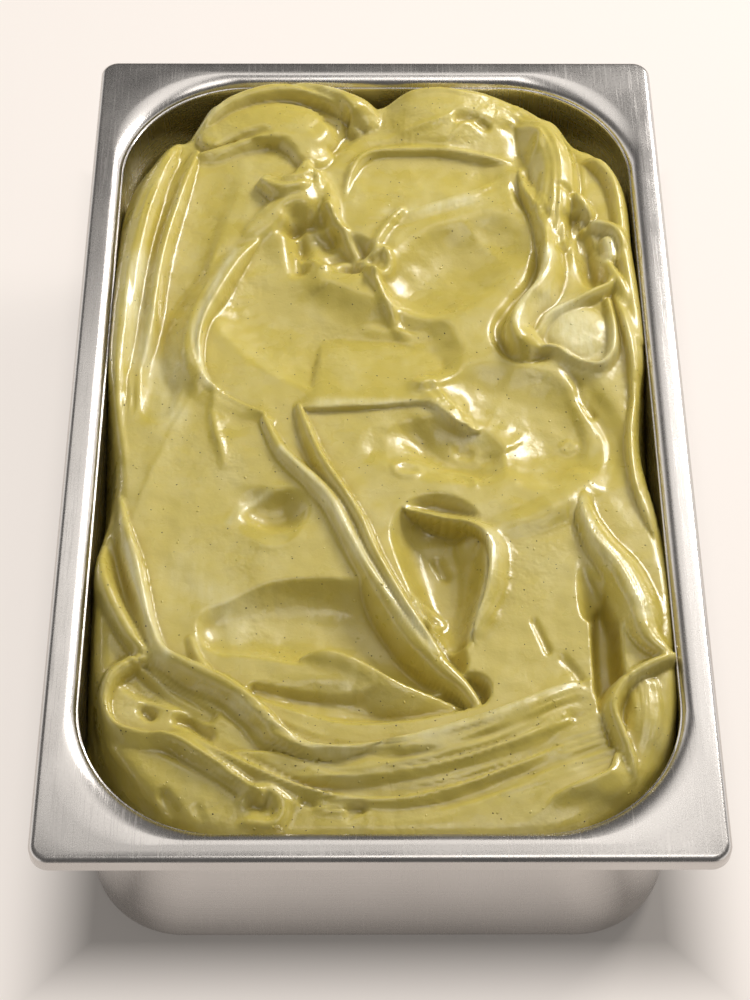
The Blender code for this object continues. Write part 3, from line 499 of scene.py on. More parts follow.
def end_tree(tree, inside, outside, geometry):
    """Makes a geometry tree's instances real and gives them the material."""
    real = add_node(tree, "GeometryNodeRealizeInstances", {"Geometry": geometry})
    finish = add_node(tree, "GeometryNodeSetMaterial", {
        "Geometry": real.outputs["Geometry"], "Material": inside.outputs["Material"],
    })
    tree.links.new(finish.outputs["Geometry"], outside.inputs["Geometry"])
    return tree


def set_inputs(modifier, values):
    """Sets a geometry tree's inputs on a modifier, by the identifiers of their sockets."""
    for item in modifier.node_group.interface.items_tree:
        if item.item_type == "SOCKET" and item.in_out == "INPUT" and item.name in values:
            modifier[item.identifier] = values[item.name]


def settled_mesh(name, maker):
    """Turns an object with live modifiers into a plain one, which takes its name."""
    graph = bpy.context.evaluated_depsgraph_get()
    mesh = bpy.data.meshes.new_from_object(maker.evaluated_get(graph))
    mesh.name = name
    bpy.data.objects.remove(maker, do_unlink=True)
    piece = bpy.data.objects.new(name, mesh)
    bpy.context.scene.collection.objects.link(piece)
    return piece


def on_body(piece, slot, *nodes):
    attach(piece, BODY)
    if nodes:
        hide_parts(*nodes)
    return piece


# Finishes


def mottle_group():
    """Soft patches between a low and a high value, the same in every finish."""
    name = "Mottle"
    if name in bpy.data.node_groups:
        return bpy.data.node_groups[name]
    tree, inside, outside = new_group(
        "ShaderNodeTree", name,
        {"Vector": "NodeSocketVector", "Scale": 10.0, "Detail": 4.0, "Low": 0.0, "High": 1.0},
        "Value", "NodeSocketFloat",
    )
    noise = add_node(tree, "ShaderNodeTexNoise", {
        **{part: inside.outputs[part] for part in ("Vector", "Scale", "Detail")},
        "Roughness": NOISE_ROUGHNESS,
    })
    spread = add_node(tree, "ShaderNodeMapRange", {
        "Value": noise.outputs["Fac"], "From Min": NOISE_LOW, "From Max": NOISE_HIGH,
        "To Min": inside.outputs["Low"], "To Max": inside.outputs["High"],
    })
    tree.links.new(spread.outputs["Result"], outside.inputs["Value"])
    return tree


def mottle(tree, vector, scale, detail, low, high):
    made = add_node(tree, "ShaderNodeGroup", node_tree=mottle_group())
    tree.links.new(vector, made.inputs["Vector"])
    for name, value in (("Scale", scale), ("Detail", detail), ("Low", low), ("High", high)):
        made.inputs[name].default_value = value
    return Field(tree, made.outputs["Value"])


def stretched(tree, position, scale, turn=(0.0, 0.0, 0.0)):
    """Object coordinates stretched along one way, for streaks and scratches."""
    made = add_node(tree, "ShaderNodeMapping", {"Vector": position})
    made.inputs["Scale"].default_value = scale
    made.inputs["Rotation"].default_value = turn
    return made.outputs["Vector"]


def mix_colours(tree, share, first, second):
    """A mix of two colours. A mix node keeps its colour sockets after those of other kinds."""
    made = add_node(tree, "ShaderNodeMix", data_type="RGBA")
    for number, value in ((0, share), (6, first), (7, second)):
        socket = made.inputs[number]
        value = value.socket if isinstance(value, Field) else value
        if isinstance(value, bpy.types.NodeSocket):
            tree.links.new(value, socket)
        elif socket.type == "RGBA":
            socket.default_value = (*value[:3], 1.0)
        else:
            socket.default_value = value
    return made.outputs[2]


def new_material(name):
    material = bpy.data.materials.new(name)
    material.use_nodes = True
    return material, material.node_tree, material.node_tree.nodes["Principled BSDF"]


def steel_material(settings):
    material, tree, shader = new_material("satin steel")
    position = add_node(tree, "ShaderNodeTexCoord").outputs["Object"]
    normal = add_node(tree, "ShaderNodeNewGeometry").outputs["Normal"]
    flat = part_of(tree, normal, "Z").math("ABSOLUTE").math("POWER", 6.0)
    brushed = mottle(tree, stretched(tree, position, (5.0, 5.0, 700.0)), 1.0, 3.0, 0.0, 1.0)
    along = mottle(tree, position, 900.0, 2.0, 0.0, 1.0)
    grain = brushed + (along - brushed) * flat
    scratches = None
    for turn, scale in ((0.5, (900.0, 22.0, 22.0)), (-0.9, (1100.0, 30.0, 30.0)),
                        (1.9, (1000.0, 26.0, 26.0))):
        lines = mottle(tree, stretched(tree, position, scale, (0.0, 0.0, turn)), 1.0, 1.0, -5.5, 1.0)
        lines = lines.math("MAXIMUM", 0.0)
        scratches = lines if scratches is None else scratches.math("MAXIMUM", lines)
    cloudy = mottle(tree, position, 26.0, 3.0, -0.5, 0.5)
    tint = mottle(tree, position, 9.0, 2.0, 0.0, 1.0)
    colour = mix_colours(tree, tint, settings.steel_colour, settings.steel_shade)
    tree.links.new(colour, shader.inputs["Base Color"])
    shader.inputs["Metallic"].default_value = 1.0
    roughness = (grain * 0.05 + cloudy * 0.06) + (scratches * 0.05 + settings.steel_roughness)
    tree.links.new(roughness.socket, shader.inputs["Roughness"])
    relief = grain * (flat * -0.45 + 0.5) - scratches * flat * 0.2
    bump = add_node(tree, "ShaderNodeBump", {
        "Height": relief, "Strength": settings.brush_strength, "Distance": 0.00006,
    })
    tree.links.new(bump.outputs["Normal"], shader.inputs["Normal"])
    return material


def gelato_material(settings):
    """Opaque pistachio paste, paler where whipping has aired it and with painted sheen on crests and
    on the pool, and darker with painted shade in its creases.
    """
    material, tree, shader = new_material("pistachio gelato")
    position = add_node(tree, "ShaderNodeTexCoord").outputs["Object"]
    pale_and_sheen = Field(tree, add_node(tree, "ShaderNodeAttribute", attribute_name="pale_and_sheen").outputs["Fac"])
    crease_shade = Field(tree, add_node(tree, "ShaderNodeAttribute", attribute_name="crease_shade").outputs["Fac"])
    cloudy = mottle(tree, position, 38.0, 3.0, -0.16, 0.20)
    streaky = mottle(tree, stretched(tree, position, (260.0, 60.0, 60.0), (0.0, 0.0, 0.3)),
                     1.0, 3.0, 0.55, 1.25)
    # Paler where whipping has aired the paste, and painted sheen along crests and on the pool
    whipped_and_sheen = pale_and_sheen * streaky + cloudy
    body = mix_colours(tree, whipped_and_sheen.math("MINIMUM", 1.0).math("MAXIMUM", 0.0),
                       settings.gelato_colour, settings.pale_and_sheen_colour)
    # Painted shade: the colour darkens in the creases, where shade would fall
    deep = crease_shade.math("MINIMUM", 1.0).math("MAXIMUM", 0.0)
    body = mix_colours(tree, deep * settings.crease_shade_strength, body, settings.crease_shade_colour)
    tree.links.new(body, shader.inputs["Base Color"])
    rough = mottle(tree, position, 45.0, 3.0, -0.14, 0.12) + pale_and_sheen * 0.04
    tree.links.new((rough + settings.gelato_roughness).socket, shader.inputs["Roughness"])
    shader.inputs["Subsurface Weight"].default_value = 0.12
    shader.inputs["Subsurface Radius"].default_value = (1.0, 0.75, 0.28)
    shader.inputs["Subsurface Scale"].default_value = 0.0018
    shader.inputs["Specular IOR Level"].default_value = 0.5
    shader.inputs["Coat Weight"].default_value = 0.30
    shader.inputs["Coat Roughness"].default_value = 0.10
    soft = mottle(tree, position, 60.0, 1.0, -1.2, 1.2)
    rough_spots = mottle(tree, position, 20.0, 1.0, -1.1, 1.7).math("MAXIMUM", 0.0)
    ripples = mottle(tree, position, 240.0, 1.0, -0.5, 0.5) * rough_spots
    fine = mottle(tree, position, 420.0, 2.0, 0.0, 1.0)
    bump = add_node(tree, "ShaderNodeBump", {
        "Height": soft * 1.4 + ripples * 0.45 + fine * 0.20, "Strength": 0.6, "Distance": 0.0004,
    })
    tree.links.new(bump.outputs["Normal"], shader.inputs["Normal"])
    return material


def nut_material():
    material, tree, shader = new_material("ground pistachio")
    position = add_node(tree, "ShaderNodeTexCoord").outputs["Object"]
    tint = mottle(tree, position, 90.0, 2.0, 0.0, 1.0)
    colour = mix_colours(tree, tint, (0.060, 0.038, 0.010), (0.17, 0.14, 0.030))
    tree.links.new(colour, shader.inputs["Base Color"])
    rough = mottle(tree, position, 300.0, 2.0, 0.42, 0.6)
    tree.links.new(rough.socket, shader.inputs["Roughness"])
    return material


# The pan


def band_group():
    """One pressed band between two rounded rectangles, straight or bent through an angle."""
    tree, inside, outside = new_group(
        "GeometryNodeTree", "Pressed band",
        {**PAN_SIZES, "Outer Inset": 0.0, "Inner Inset": 0.0, "Outer Corner": 0.01,
         "Inner Corner": 0.01, "Outer Depth": 0.0, "Inner Depth": 0.0, "Start Slope": 0.0,
         "End Slope": 0.0, "Rows": 1, "Corner Steps": 24},
        "Mesh", "NodeSocketGeometry",
    )

    def value(name):
        return Field(tree, inside.outputs[name])

    points_a_corner = value("Corner Steps") + 1.0
    around = points_a_corner * 4.0
    grid = add_node(tree, "GeometryNodeMeshGrid", {
        "Size X": 1.0, "Size Y": 1.0, "Vertices X": value("Rows") + 1.0,
        "Vertices Y": around + 1.0,
    })
    place = add_node(tree, "GeometryNodeInputPosition").outputs["Position"]
    across = part_of(tree, place, "X") + 0.5
    number = ((part_of(tree, place, "Y") + 0.5) * around).math("ROUND")
    quarter = (number / points_a_corner + 0.001).math("FLOOR")
    within = (number - quarter * points_a_corner) / value("Corner Steps")
    angle = (quarter + within) * RIGHT_ANGLE
    middle = (quarter + 0.5) * RIGHT_ANGLE
    slope = value("Start Slope") + (value("End Slope") - value("Start Slope")) * across
    start_sine = value("Start Slope").math("SINE")
    turn_sine = value("End Slope").math("SINE") - start_sine
    start_cosine = value("Start Slope").math("COSINE")
    turn_cosine = value("End Slope").math("COSINE") - start_cosine
    bent = (turn_sine.math("ABSOLUTE") - 0.001).math("GREATER_THAN", 0.0)
    inward = across + ((slope.math("SINE") - start_sine) / turn_sine - across) * bent
    downward = across + ((slope.math("COSINE") - start_cosine) / turn_cosine - across) * bent
    inset = value("Outer Inset") + (value("Inner Inset") - value("Outer Inset")) * inward
    corner = value("Outer Corner") + (value("Inner Corner") - value("Outer Corner")) * inward
    depth = value("Outer Depth") + (value("Inner Depth") - value("Outer Depth")) * downward
    straight_x = (value("Width") * 0.5 - inset - corner) * middle.math("COSINE").math("SIGN")
    straight_y = (value("Length") * 0.5 - inset - corner) * middle.math("SINE").math("SIGN")
    where = add_node(tree, "ShaderNodeCombineXYZ", {
        "X": straight_x + corner * angle.math("COSINE"),
        "Y": straight_y + corner * angle.math("SINE"),
        "Z": value("Height") - depth,
    })
    pressed = add_node(tree, "GeometryNodeSetPosition", {
        "Geometry": grid.outputs["Mesh"], "Position": where.outputs["Vector"],
    })
    turned = add_node(tree, "GeometryNodeFlipFaces", {"Mesh": pressed.outputs["Geometry"]})
    tree.links.new(turned.outputs["Mesh"], outside.inputs["Mesh"])
    return tree


def pan_bands():
    """The bands from the lip's edge to the floor: insets, corner radii, depths, slopes and rows."""
    foot_depth = PAN_HEIGHT - SHEET - FOOT_FILLET
    floor_depth = PAN_HEIGHT - SHEET
    floor_inset = WALL_FOOT_INSET + FOOT_FILLET
    floor_corner = FOOT_CORNER_RADIUS - FOOT_FILLET
    return (
        (0.0, 0.0, LIP_CORNER_RADIUS, LIP_CORNER_RADIUS, LIP_DROP, LIP_BEND_RADIUS, 0.0, 0.0, 2),
        (0.0, LIP_BEND_RADIUS, LIP_CORNER_RADIUS, LIP_CORNER_RADIUS - LIP_BEND_RADIUS,
         LIP_BEND_RADIUS, 0.0, RIGHT_ANGLE, 0.0, 8),
        (LIP_BEND_RADIUS, FLANGE_INSET, LIP_CORNER_RADIUS - LIP_BEND_RADIUS, MOUTH_CORNER_RADIUS,
         0.0, 0.0, 0.0, 0.0, 3),
        (FLANGE_INSET, SHOULDER_INSET, MOUTH_CORNER_RADIUS, SHOULDER_CORNER_RADIUS,
         0.0, SHOULDER_DEPTH, SHOULDER_START, RIGHT_ANGLE, 10),
        (SHOULDER_INSET, BEAD_INSET, SHOULDER_CORNER_RADIUS, SHOULDER_CORNER_RADIUS,
         SHOULDER_DEPTH, BEAD_DEPTH, 0.0, 0.0, 1),
        (BEAD_INSET, WALL_TOP_INSET, SHOULDER_CORNER_RADIUS, WALL_TOP_CORNER_RADIUS,
         BEAD_DEPTH, WALL_TOP_DEPTH, 0.0, RIGHT_ANGLE, 3),
        (WALL_TOP_INSET, WALL_FOOT_INSET, WALL_TOP_CORNER_RADIUS, FOOT_CORNER_RADIUS,
         WALL_TOP_DEPTH, foot_depth, 0.0, 0.0, 6),
        (WALL_FOOT_INSET, floor_inset, FOOT_CORNER_RADIUS, floor_corner,
         foot_depth, floor_depth, RIGHT_ANGLE, 0.0, 8),
        (floor_inset, PAN_WIDTH / 2, floor_corner, 0.0, floor_depth, floor_depth, 0.0, 0.0, 1),
    )


def pan_tree():
    tree, inside, outside = new_group(
        "GeometryNodeTree", "Pressed pan",
        {**PAN_SIZES, "Corner Steps": 24, "Material": "NodeSocketMaterial"},
        "Geometry", "NodeSocketGeometry",
    )
    band = band_group()
    joined = add_node(tree, "GeometryNodeJoinGeometry")
    names = ("Outer Inset", "Inner Inset", "Outer Corner", "Inner Corner", "Outer Depth",
             "Inner Depth", "Start Slope", "End Slope", "Rows")
    for values in reversed(pan_bands()):
        made = add_node(tree, "GeometryNodeGroup", node_tree=band)
        for name, value in zip(names, values):
            made.inputs[name].default_value = value
        for name in (*PAN_SIZES, "Corner Steps"):
            tree.links.new(inside.outputs[name], made.inputs[name])
        tree.links.new(made.outputs["Mesh"], joined.inputs["Geometry"])
    welded = add_node(tree, "GeometryNodeMergeByDistance", {
        "Geometry": joined.outputs["Geometry"], "Distance": WELD_DISTANCE,
    })
    return end_tree(tree, inside, outside, welded.outputs["Geometry"])


def maker_object(name):
    """An empty mesh object that carries a geometry tree until its mesh is settled."""
    maker = bpy.data.objects.new(name, bpy.data.meshes.new(name))
    bpy.context.scene.collection.objects.link(maker)
    return maker


def make_pan(settings):
    maker = maker_object("pan maker")
    steel = steel_material(settings)
    pressing = maker.modifiers.new("Pressing", "NODES")
    pressing.node_group = pan_tree()
    set_inputs(pressing, {**PAN_SIZES, "Corner Steps": settings.corner_steps, "Material": steel})
    sheet = maker.modifiers.new("Sheet", "SOLIDIFY")
    sheet.thickness = settings.sheet
    sheet.offset = -1.0
    sheet.use_even_offset = True
    pan = settled_mesh("steel_pan", maker)
    pan.data.shade_smooth()
    pan.data.set_sharp_from_angle(angle=SHARP_ANGLE)
    return on_body(pan, "steel", "pan")


# The gelato's surface


def blend(start, end, share):
    return start + (end - start) * share


def wall_at(height):
    """Inset and corner radius of the wall's inner face at a height."""
    top = PAN_HEIGHT - WALL_TOP_DEPTH
    share = (top - height) / (top - SHEET)
    return (
        blend(WALL_TOP_INSET, WALL_FOOT_INSET, share),
        blend(WALL_TOP_CORNER_RADIUS, FOOT_CORNER_RADIUS, share),
    )


def foot_fillet(clearance):
    """The round foot inside the pan, as (inset, corner radius, height), down to the floor."""
    inset, corner = wall_at(SHEET + FOOT_FILLET)
    rings = []
    for step in range(FILLET_STEPS + 1):
        angle = RIGHT_ANGLE * step / FILLET_STEPS
        inward = FOOT_FILLET * (1 - math.cos(angle))
        height = SHEET + FOOT_FILLET * (1 - math.sin(angle)) + clearance
        rings.append((inset + clearance + inward, corner - clearance - inward, height))
    return rings


def settle(points, relief=RELIEF):
    """Moves points seen from the eye in the fill plane to where they are at their heights."""
    points = np.array([(*point, 1.0)[:4] for point in points], dtype=float)
    points[:, 2] *= relief
    eye = np.array(EYE)
    reach = (eye[2] - points[:, 2:3]) / eye[2]
    points[:, :2] = eye[:2] + (points[:, :2] - eye[:2]) * reach
    return points


def spline(points, closed=False):
    """A smooth curve through the points, by the Catmull-Rom rule."""
    if closed:
        points = np.vstack((points[-1:], points, points[:2]))
    else:
        points = np.vstack((points[:1], points, points[-1:]))
    curve = []
    for p0, p1, p2, p3 in zip(points[:-3], points[1:-2], points[2:-1], points[3:]):
        for step in range(SPLINE_STEPS):
            t = step / SPLINE_STEPS
            curve.append(
                0.5 * (2 * p1 + (p2 - p0) * t + (2 * p0 - 5 * p1 + 4 * p2 - p3) * t**2
                       + (3 * p1 - p0 - 3 * p2 + p3) * t**3)
            )
    curve.append(points[-2])
    return np.array(curve)


def flat_curve(path, closed=False):
    """A curve through points of the fill plane."""
    return spline(settle([(x, y, 0.0) for x, y in path]), closed)


def measure(curve, x, y):
    """Distance to the curve, its side from -1 right to 1 left, and what it carries there.

    It carries its height, the share of its width and its left-hand way.
    """
    distance = np.full(x.shape, np.inf)
    side = np.zeros(x.shape)
    carried = np.zeros((4, *x.shape))
    for start, end in zip(curve[:-1], curve[1:]):
        dx, dy = end[:2] - start[:2]
        length = math.hypot(dx, dy)
        share = np.clip(((x - start[0]) * dx + (y - start[1]) * dy) / length**2, 0, 1)
        off_x = x - start[0] - share * dx
        off_y = y - start[1] - share * dy
        off = np.hypot(off_x, off_y)
        nearer = off < distance
        distance = np.where(nearer, off, distance)
        across = (dx * off_y - dy * off_x) / (length * np.maximum(off, 1e-6))
        side = np.where(nearer, across, side)
        here = (blend(start[2], end[2], share), blend(start[3], end[3], share), -dy / length,
                dx / length)
        for values, value in zip(carried, here):
            values[nearer] = value[nearer] if np.ndim(value) else value
    return distance, side, carried


def measure_near(curve, reach, x, y):
    """Which points lie within reach of the curve, and what measure finds for them."""
    low = curve.min(axis=0)[:2] - reach
    high = curve.max(axis=0)[:2] + reach
    near = (x > low[0]) & (x < high[0]) & (y > low[1]) & (y < high[1])
    return near, *measure(curve, x[near], y[near])


def width_at(side, left, right, share):
    """Half-width of a section, which changes smoothly from its right side to its left."""
    return share * blend(right, left, 0.5 + 0.5 * side)


def rounded_off(distance):
    """Distance from a curve whose crest is rounded."""
    return np.hypot(distance, CREST_RADIUS) - CREST_RADIUS


def higher_of(a, b, softness):
    """The higher of two surfaces, rounded where they come within the softness of each other."""
    overlap = np.maximum(softness - np.abs(a - b), 0)
    return np.maximum(a, b) + overlap**2 / (4 * softness)


def work_surface(x, y):
    """Height above the fill line after every move, and how far the crests lean over sideways."""
    z = BASE_LEVEL + SWELL * np.sin(x / SWELL_ACROSS) * np.cos(y / SWELL_ALONG)
    lean_x = np.zeros(x.shape)
    lean_y = np.zeros(x.shape)
    for kind, left, right, depth, power, softness, path in MOVES:
        depth = RELIEF * depth
        softness = JOIN_SHARE * softness
        curve = spline(settle(path))
        reach = max(left, right) * (REACH_DEPTH / depth) ** (1 / power)
        near, distance, side, (height, share, left_x, left_y) = measure_near(curve, reach, x, y)
        width = width_at(side, left, right, share)
        section = depth * (rounded_off(distance) / width) ** power
        below = z[near]
        if kind == "scoop":
            z[near] = -higher_of(-below, -height - section, softness)
            continue
        fold = height - section
        z[near] = higher_of(below, fold, softness)
        on_top = np.clip(0.5 + (fold - below) / (2 * softness), 0, 1)
        lean = LEAN * depth / RELIEF * (right - left) / (right + left)
        lean = lean * np.exp(-((distance / width) ** 2))
        lean_x[near] += (lean * left_x - lean_x[near]) * on_top
        lean_y[near] += (lean * left_y - lean_y[near]) * on_top
    z -= FRONT_FALL * np.maximum(FRONT_FALL_START - y, 0) ** 2
    return z, lean_x, lean_y


def draw_lines(x, y, z):
    """Adds the strings, thin lips, grooves and hollows."""
    for left, right, power, path in LINES:
        curve = spline(settle(path, 1.0))
        reach = LINE_REACH * max(left, right)
        near, distance, side, (height, share, _, _) = measure_near(curve, reach, x, y)
        width = width_at(side, left, right, share)
        z[near] += height * np.exp(-((rounded_off(distance) / width) ** power))
    return z


def comb_streaks(x, y, z, strength):
    """Draws fine parallel streaks along the strokes, uneven in depth as a spatula leaves them."""
    for half_width, pitch, height, path in COMBS:
        near, distance, side, _ = measure_near(flat_curve(path), half_width, x, y)
        turns = 2 * math.pi * distance * side / pitch
        place = x[near] / STREAK_ACROSS + y[near] / STREAK_ALONG
        uneven = STREAK_DEPTH + STREAK_CHANGE * np.sin(place)
        window = np.clip(1 - (distance / half_width) ** 2, 0, 1)
        wander = np.sin(turns * STREAK_WANDER_TURN + y[near] / STREAK_WANDER_ALONG)
        ripple = np.sin(turns + STREAK_WANDER * wander)
        z[near] += strength * height * uneven * window * ripple
    return z


def roll_edge(x, y, z):
    """Rolls the surface down outside its free edge, to the bank's foot at the wall."""
    distance, side, _ = measure(flat_curve(EDGE, closed=True), x, y)
    inside = np.where(side > 0, distance, -distance)
    near = np.clip(EDGE_ROLL - inside, 0, EDGE_ROLL)
    roll = EDGE_ROLL - np.sqrt(EDGE_ROLL**2 - near**2)
    z = z - roll - EDGE_SLOPE * np.maximum(-inside, 0)
    return np.maximum(z, (BANK_FOOT_HEIGHT - FILL_HEIGHT) / MM), inside


def paint_pale_and_sheen(x, y):
    """How far each point is made paler, from 0 to 1: partly by whipping, partly as painted sheen."""
    pale_and_sheen = np.zeros(x.shape)
    for radius, strength, path in PALE_AND_SHEEN:
        near, distance, _, _ = measure_near(flat_curve(path), PALE_AND_SHEEN_REACH * radius, x, y)
        pale_and_sheen[near] = np.maximum(pale_and_sheen[near], strength * np.exp(-((distance / radius) ** 2)))
    return pale_and_sheen


def blurred(values, rounds):
    """Each value averaged with its neighbours on the grid, so many times over."""
    for _ in range(rounds):
        for axis in (0, 1):
            ahead = np.concatenate((np.take(values, range(1, values.shape[axis]), axis),
                                    np.take(values, [-1], axis)), axis)
            behind = np.concatenate((np.take(values, [0], axis),
                                     np.take(values, range(values.shape[axis] - 1), axis)), axis)
            values = 0.5 * values + 0.25 * (ahead + behind)
    return values


def top_plan():
    """A grid over the pan's mouth whose corners are drawn in to the wall's round corners."""
    inset, corner = wall_at(PAN_HEIGHT - WALL_TOP_DEPTH)
    half_x = (PAN_WIDTH / 2 - inset - CLEARANCE) / MM
    half_y = (PAN_LENGTH / 2 - inset - CLEARANCE) / MM
    radius = (corner - CLEARANCE) / MM
    across = np.linspace(-half_x, half_x, TOP_COLUMNS + 1)
    along = np.linspace(-half_y, half_y, TOP_ROWS + 1)
    x, y = np.meshgrid(across, along)
    u = np.clip((np.abs(x) - (half_x - radius)) / radius, 0, 1)
    v = np.clip((np.abs(y) - (half_y - radius)) / radius, 0, 1)
    x = np.sign(x) * (np.abs(x) - radius * u * (1 - np.sqrt(1 - v**2 / 2)))
    y = np.sign(y) * (np.abs(y) - radius * v * (1 - np.sqrt(1 - u**2 / 2)))
    return x, y


def border(rows, columns):
    """Row and column of each point on the grid's border, anticlockwise seen from above."""
    front = [(0, column) for column in range(columns)]
    right = [(row, columns) for row in range(rows)]
    back = [(rows, column) for column in range(columns, 0, -1)]
    left = [(row, 0) for row in range(rows, 0, -1)]
    return front + right + back + left


def on_wall(x, y, inset, corner):
    """Slides a border point of the top out or in to the wall of another height."""
    top_inset, top_corner = wall_at(PAN_HEIGHT - WALL_TOP_DEPTH)
    top_x = PAN_WIDTH / 2 - top_inset - top_corner
    top_y = PAN_LENGTH / 2 - top_inset - top_corner
    new_x = PAN_WIDTH / 2 - inset - corner
    new_y = PAN_LENGTH / 2 - inset - corner
    beyond_x = max(abs(x) - top_x, 0.0)
    beyond_y = max(abs(y) - top_y, 0.0)
    scale = corner / (top_corner - CLEARANCE)
    out_x = new_x + beyond_x * scale if beyond_x else abs(x) * new_x / top_x
    out_y = new_y + beyond_y * scale if beyond_y else abs(y) * new_y / top_y
    return math.copysign(out_x, x), math.copysign(out_y, y)


def gelato_mesh(settings):
    x, y = top_plan()
    z, lean_x, lean_y = work_surface(x, y)
    z = draw_lines(x, y, z)
    z = comb_streaks(x, y, z, settings.streak_strength)
    z, inside = roll_edge(x, y, z)
    # Paler by whipping, and painted sheen along crests and on the pool
    pale_and_sheen = paint_pale_and_sheen(x, y)
    # Painted shade: how far each point lies in a hollow below its blurred neighbours, to darken it
    crease_shade = np.clip((blurred(z, settings.crease_rounds) - z) / settings.crease_depth, 0, 1)
    hold = np.clip(inside / EDGE_ROLL, 0, 1)
    x = x + lean_x * hold
    y = y + lean_y * hold
    count_x = TOP_COLUMNS + 1
    rim = [row * count_x + column for row, column in border(TOP_ROWS, TOP_COLUMNS)]
    points = np.stack((x * MM, y * MM, FILL_HEIGHT + z * MM), axis=-1).reshape(-1, 3)
    rings = [points]
    low_inset, low_corner = wall_at(BANK_FOOT_HEIGHT - 2 * FOOT_FILLET)
    bands = [(low_inset + CLEARANCE, low_corner - CLEARANCE, BANK_FOOT_HEIGHT - 2 * FOOT_FILLET)]
    for inset, corner, height in bands + foot_fillet(CLEARANCE):
        rings.append(np.array(
            [(*on_wall(*points[i, :2], inset, corner), height) for i in rim]
        ))
    first = np.arange(TOP_ROWS * count_x).reshape(TOP_ROWS, count_x)[:, :-1].reshape(-1)
    faces = np.stack((first, first + 1, first + 1 + count_x, first + count_x), axis=-1).tolist()
    upper = rim
    for number in range(len(rings) - 1):
        start = len(points) + number * len(rim)
        lower = list(range(start, start + len(rim)))
        for i in range(len(rim)):
            j = (i + 1) % len(rim)
            faces.append((upper[j], upper[i], lower[i], lower[j]))
        upper = lower
    faces.append(tuple(reversed(upper)))
    mesh = bpy.data.meshes.new("gelato_mass")
    mesh.from_pydata(np.vstack(rings).tolist(), [], faces)
    spare = len(rings) * len(rim) - len(rim)
    for name, values in (("pale_and_sheen", pale_and_sheen), ("crease_shade", crease_shade)):
        layer = mesh.attributes.new(name, "FLOAT", "POINT")
        layer.data.foreach_set("value", np.append(values.reshape(-1), np.zeros(spare)))
    mesh.shade_smooth()
    return mesh


def make_gelato(settings):
    mesh = gelato_mesh(settings)
    mesh.materials.append(gelato_material(settings))
    gelato = bpy.data.objects.new("gelato_mass", mesh)
    bpy.context.scene.collection.objects.link(gelato)
    return on_body(gelato, "gelato", "gelato")


# Ground nut and air bubbles on the surface


def random_number(tree, least, most, seed):
    """A number drawn between two others. The node has unused sockets of the same names."""
    drawn = add_node(tree, "FunctionNodeRandomValue", data_type="FLOAT")
    sockets = {socket.name: socket for socket in drawn.inputs if socket.enabled}
    for name, value in (("Min", least), ("Max", most), ("Seed", seed)):
        if isinstance(value, Field):
            tree.links.new(value.socket, sockets[name])
        else:
            sockets[name].default_value = value
    return Field(tree, [socket for socket in drawn.outputs if socket.enabled][0])


def strewn_tree(name):
    """Scatters small grains over the open top of the gelato, part sunk in it."""
    tree, inside, outside = new_group(
        "GeometryNodeTree", name,
        {"Gelato": "NodeSocketObject", "Density": 1000.0, "Least Size": 0.0002,
         "Most Size": 0.0005, "Flatness": 0.5, "Sunk": 0.3, "Sides": 1, "Lowest": 0.1, "Seed": 1,
         "Material": "NodeSocketMaterial"},
        "Geometry", "NodeSocketGeometry",
    )

    def value(name):
        return Field(tree, inside.outputs[name])

    gelato = add_node(tree, "GeometryNodeObjectInfo", {"Object": inside.outputs["Gelato"]})
    place = add_node(tree, "GeometryNodeInputPosition").outputs["Position"]
    facing = add_node(tree, "GeometryNodeInputNormal").outputs["Normal"]
    high = (part_of(tree, place, "Z") - value("Lowest")).math("GREATER_THAN", 0.0)
    open_top = high * part_of(tree, facing, "Z").math("GREATER_THAN", STREWN_FACING)
    points = add_node(tree, "GeometryNodeDistributePointsOnFaces", {
        "Mesh": gelato.outputs["Geometry"], "Selection": open_top,
        "Density": inside.outputs["Density"], "Seed": inside.outputs["Seed"],
    })
    size = random_number(tree, value("Least Size"), value("Most Size"), value("Seed"))
    scale = add_node(tree, "ShaderNodeCombineXYZ", {
        "X": size, "Y": size * GRAIN_BREADTH, "Z": size * value("Flatness"),
    })
    grain = add_node(tree, "GeometryNodeMeshIcoSphere", {
        "Radius": 1.0, "Subdivisions": inside.outputs["Sides"],
    })
    sunk = add_node(tree, "ShaderNodeCombineXYZ", {
        "X": 0.0, "Y": 0.0, "Z": value("Sunk") * -1.0,
    })
    lowered = add_node(tree, "GeometryNodeTransform", {
        "Geometry": grain.outputs["Mesh"], "Translation": sunk.outputs["Vector"],
    })
    laid = add_node(tree, "GeometryNodeInstanceOnPoints", {
        "Points": points.outputs["Points"], "Instance": lowered.outputs["Geometry"],
        "Rotation": points.outputs["Rotation"], "Scale": scale.outputs["Vector"],
    })
    spin = add_node(tree, "ShaderNodeCombineXYZ", {
        "Z": random_number(tree, 0.0, 2 * math.pi, value("Seed")),
    })
    turned = add_node(tree, "GeometryNodeRotateInstances", {
        "Instances": laid.outputs["Instances"], "Rotation": spin.outputs["Vector"],
    })
    return end_tree(tree, inside, outside, turned.outputs["Instances"])


def strew(name, gelato, material, values):
    maker = maker_object(name + " maker")
    strewing = maker.modifiers.new("Strewing", "NODES")
    strewing.node_group = strewn_tree(name)
    set_inputs(strewing, {**values, "Gelato": gelato, "Material": material,
                          "Lowest": FILL_HEIGHT - STREWN_DEPTH})
    piece = settled_mesh(name, maker)
    piece.data.shade_smooth()
    return on_body(piece, "gelato")


# The stage


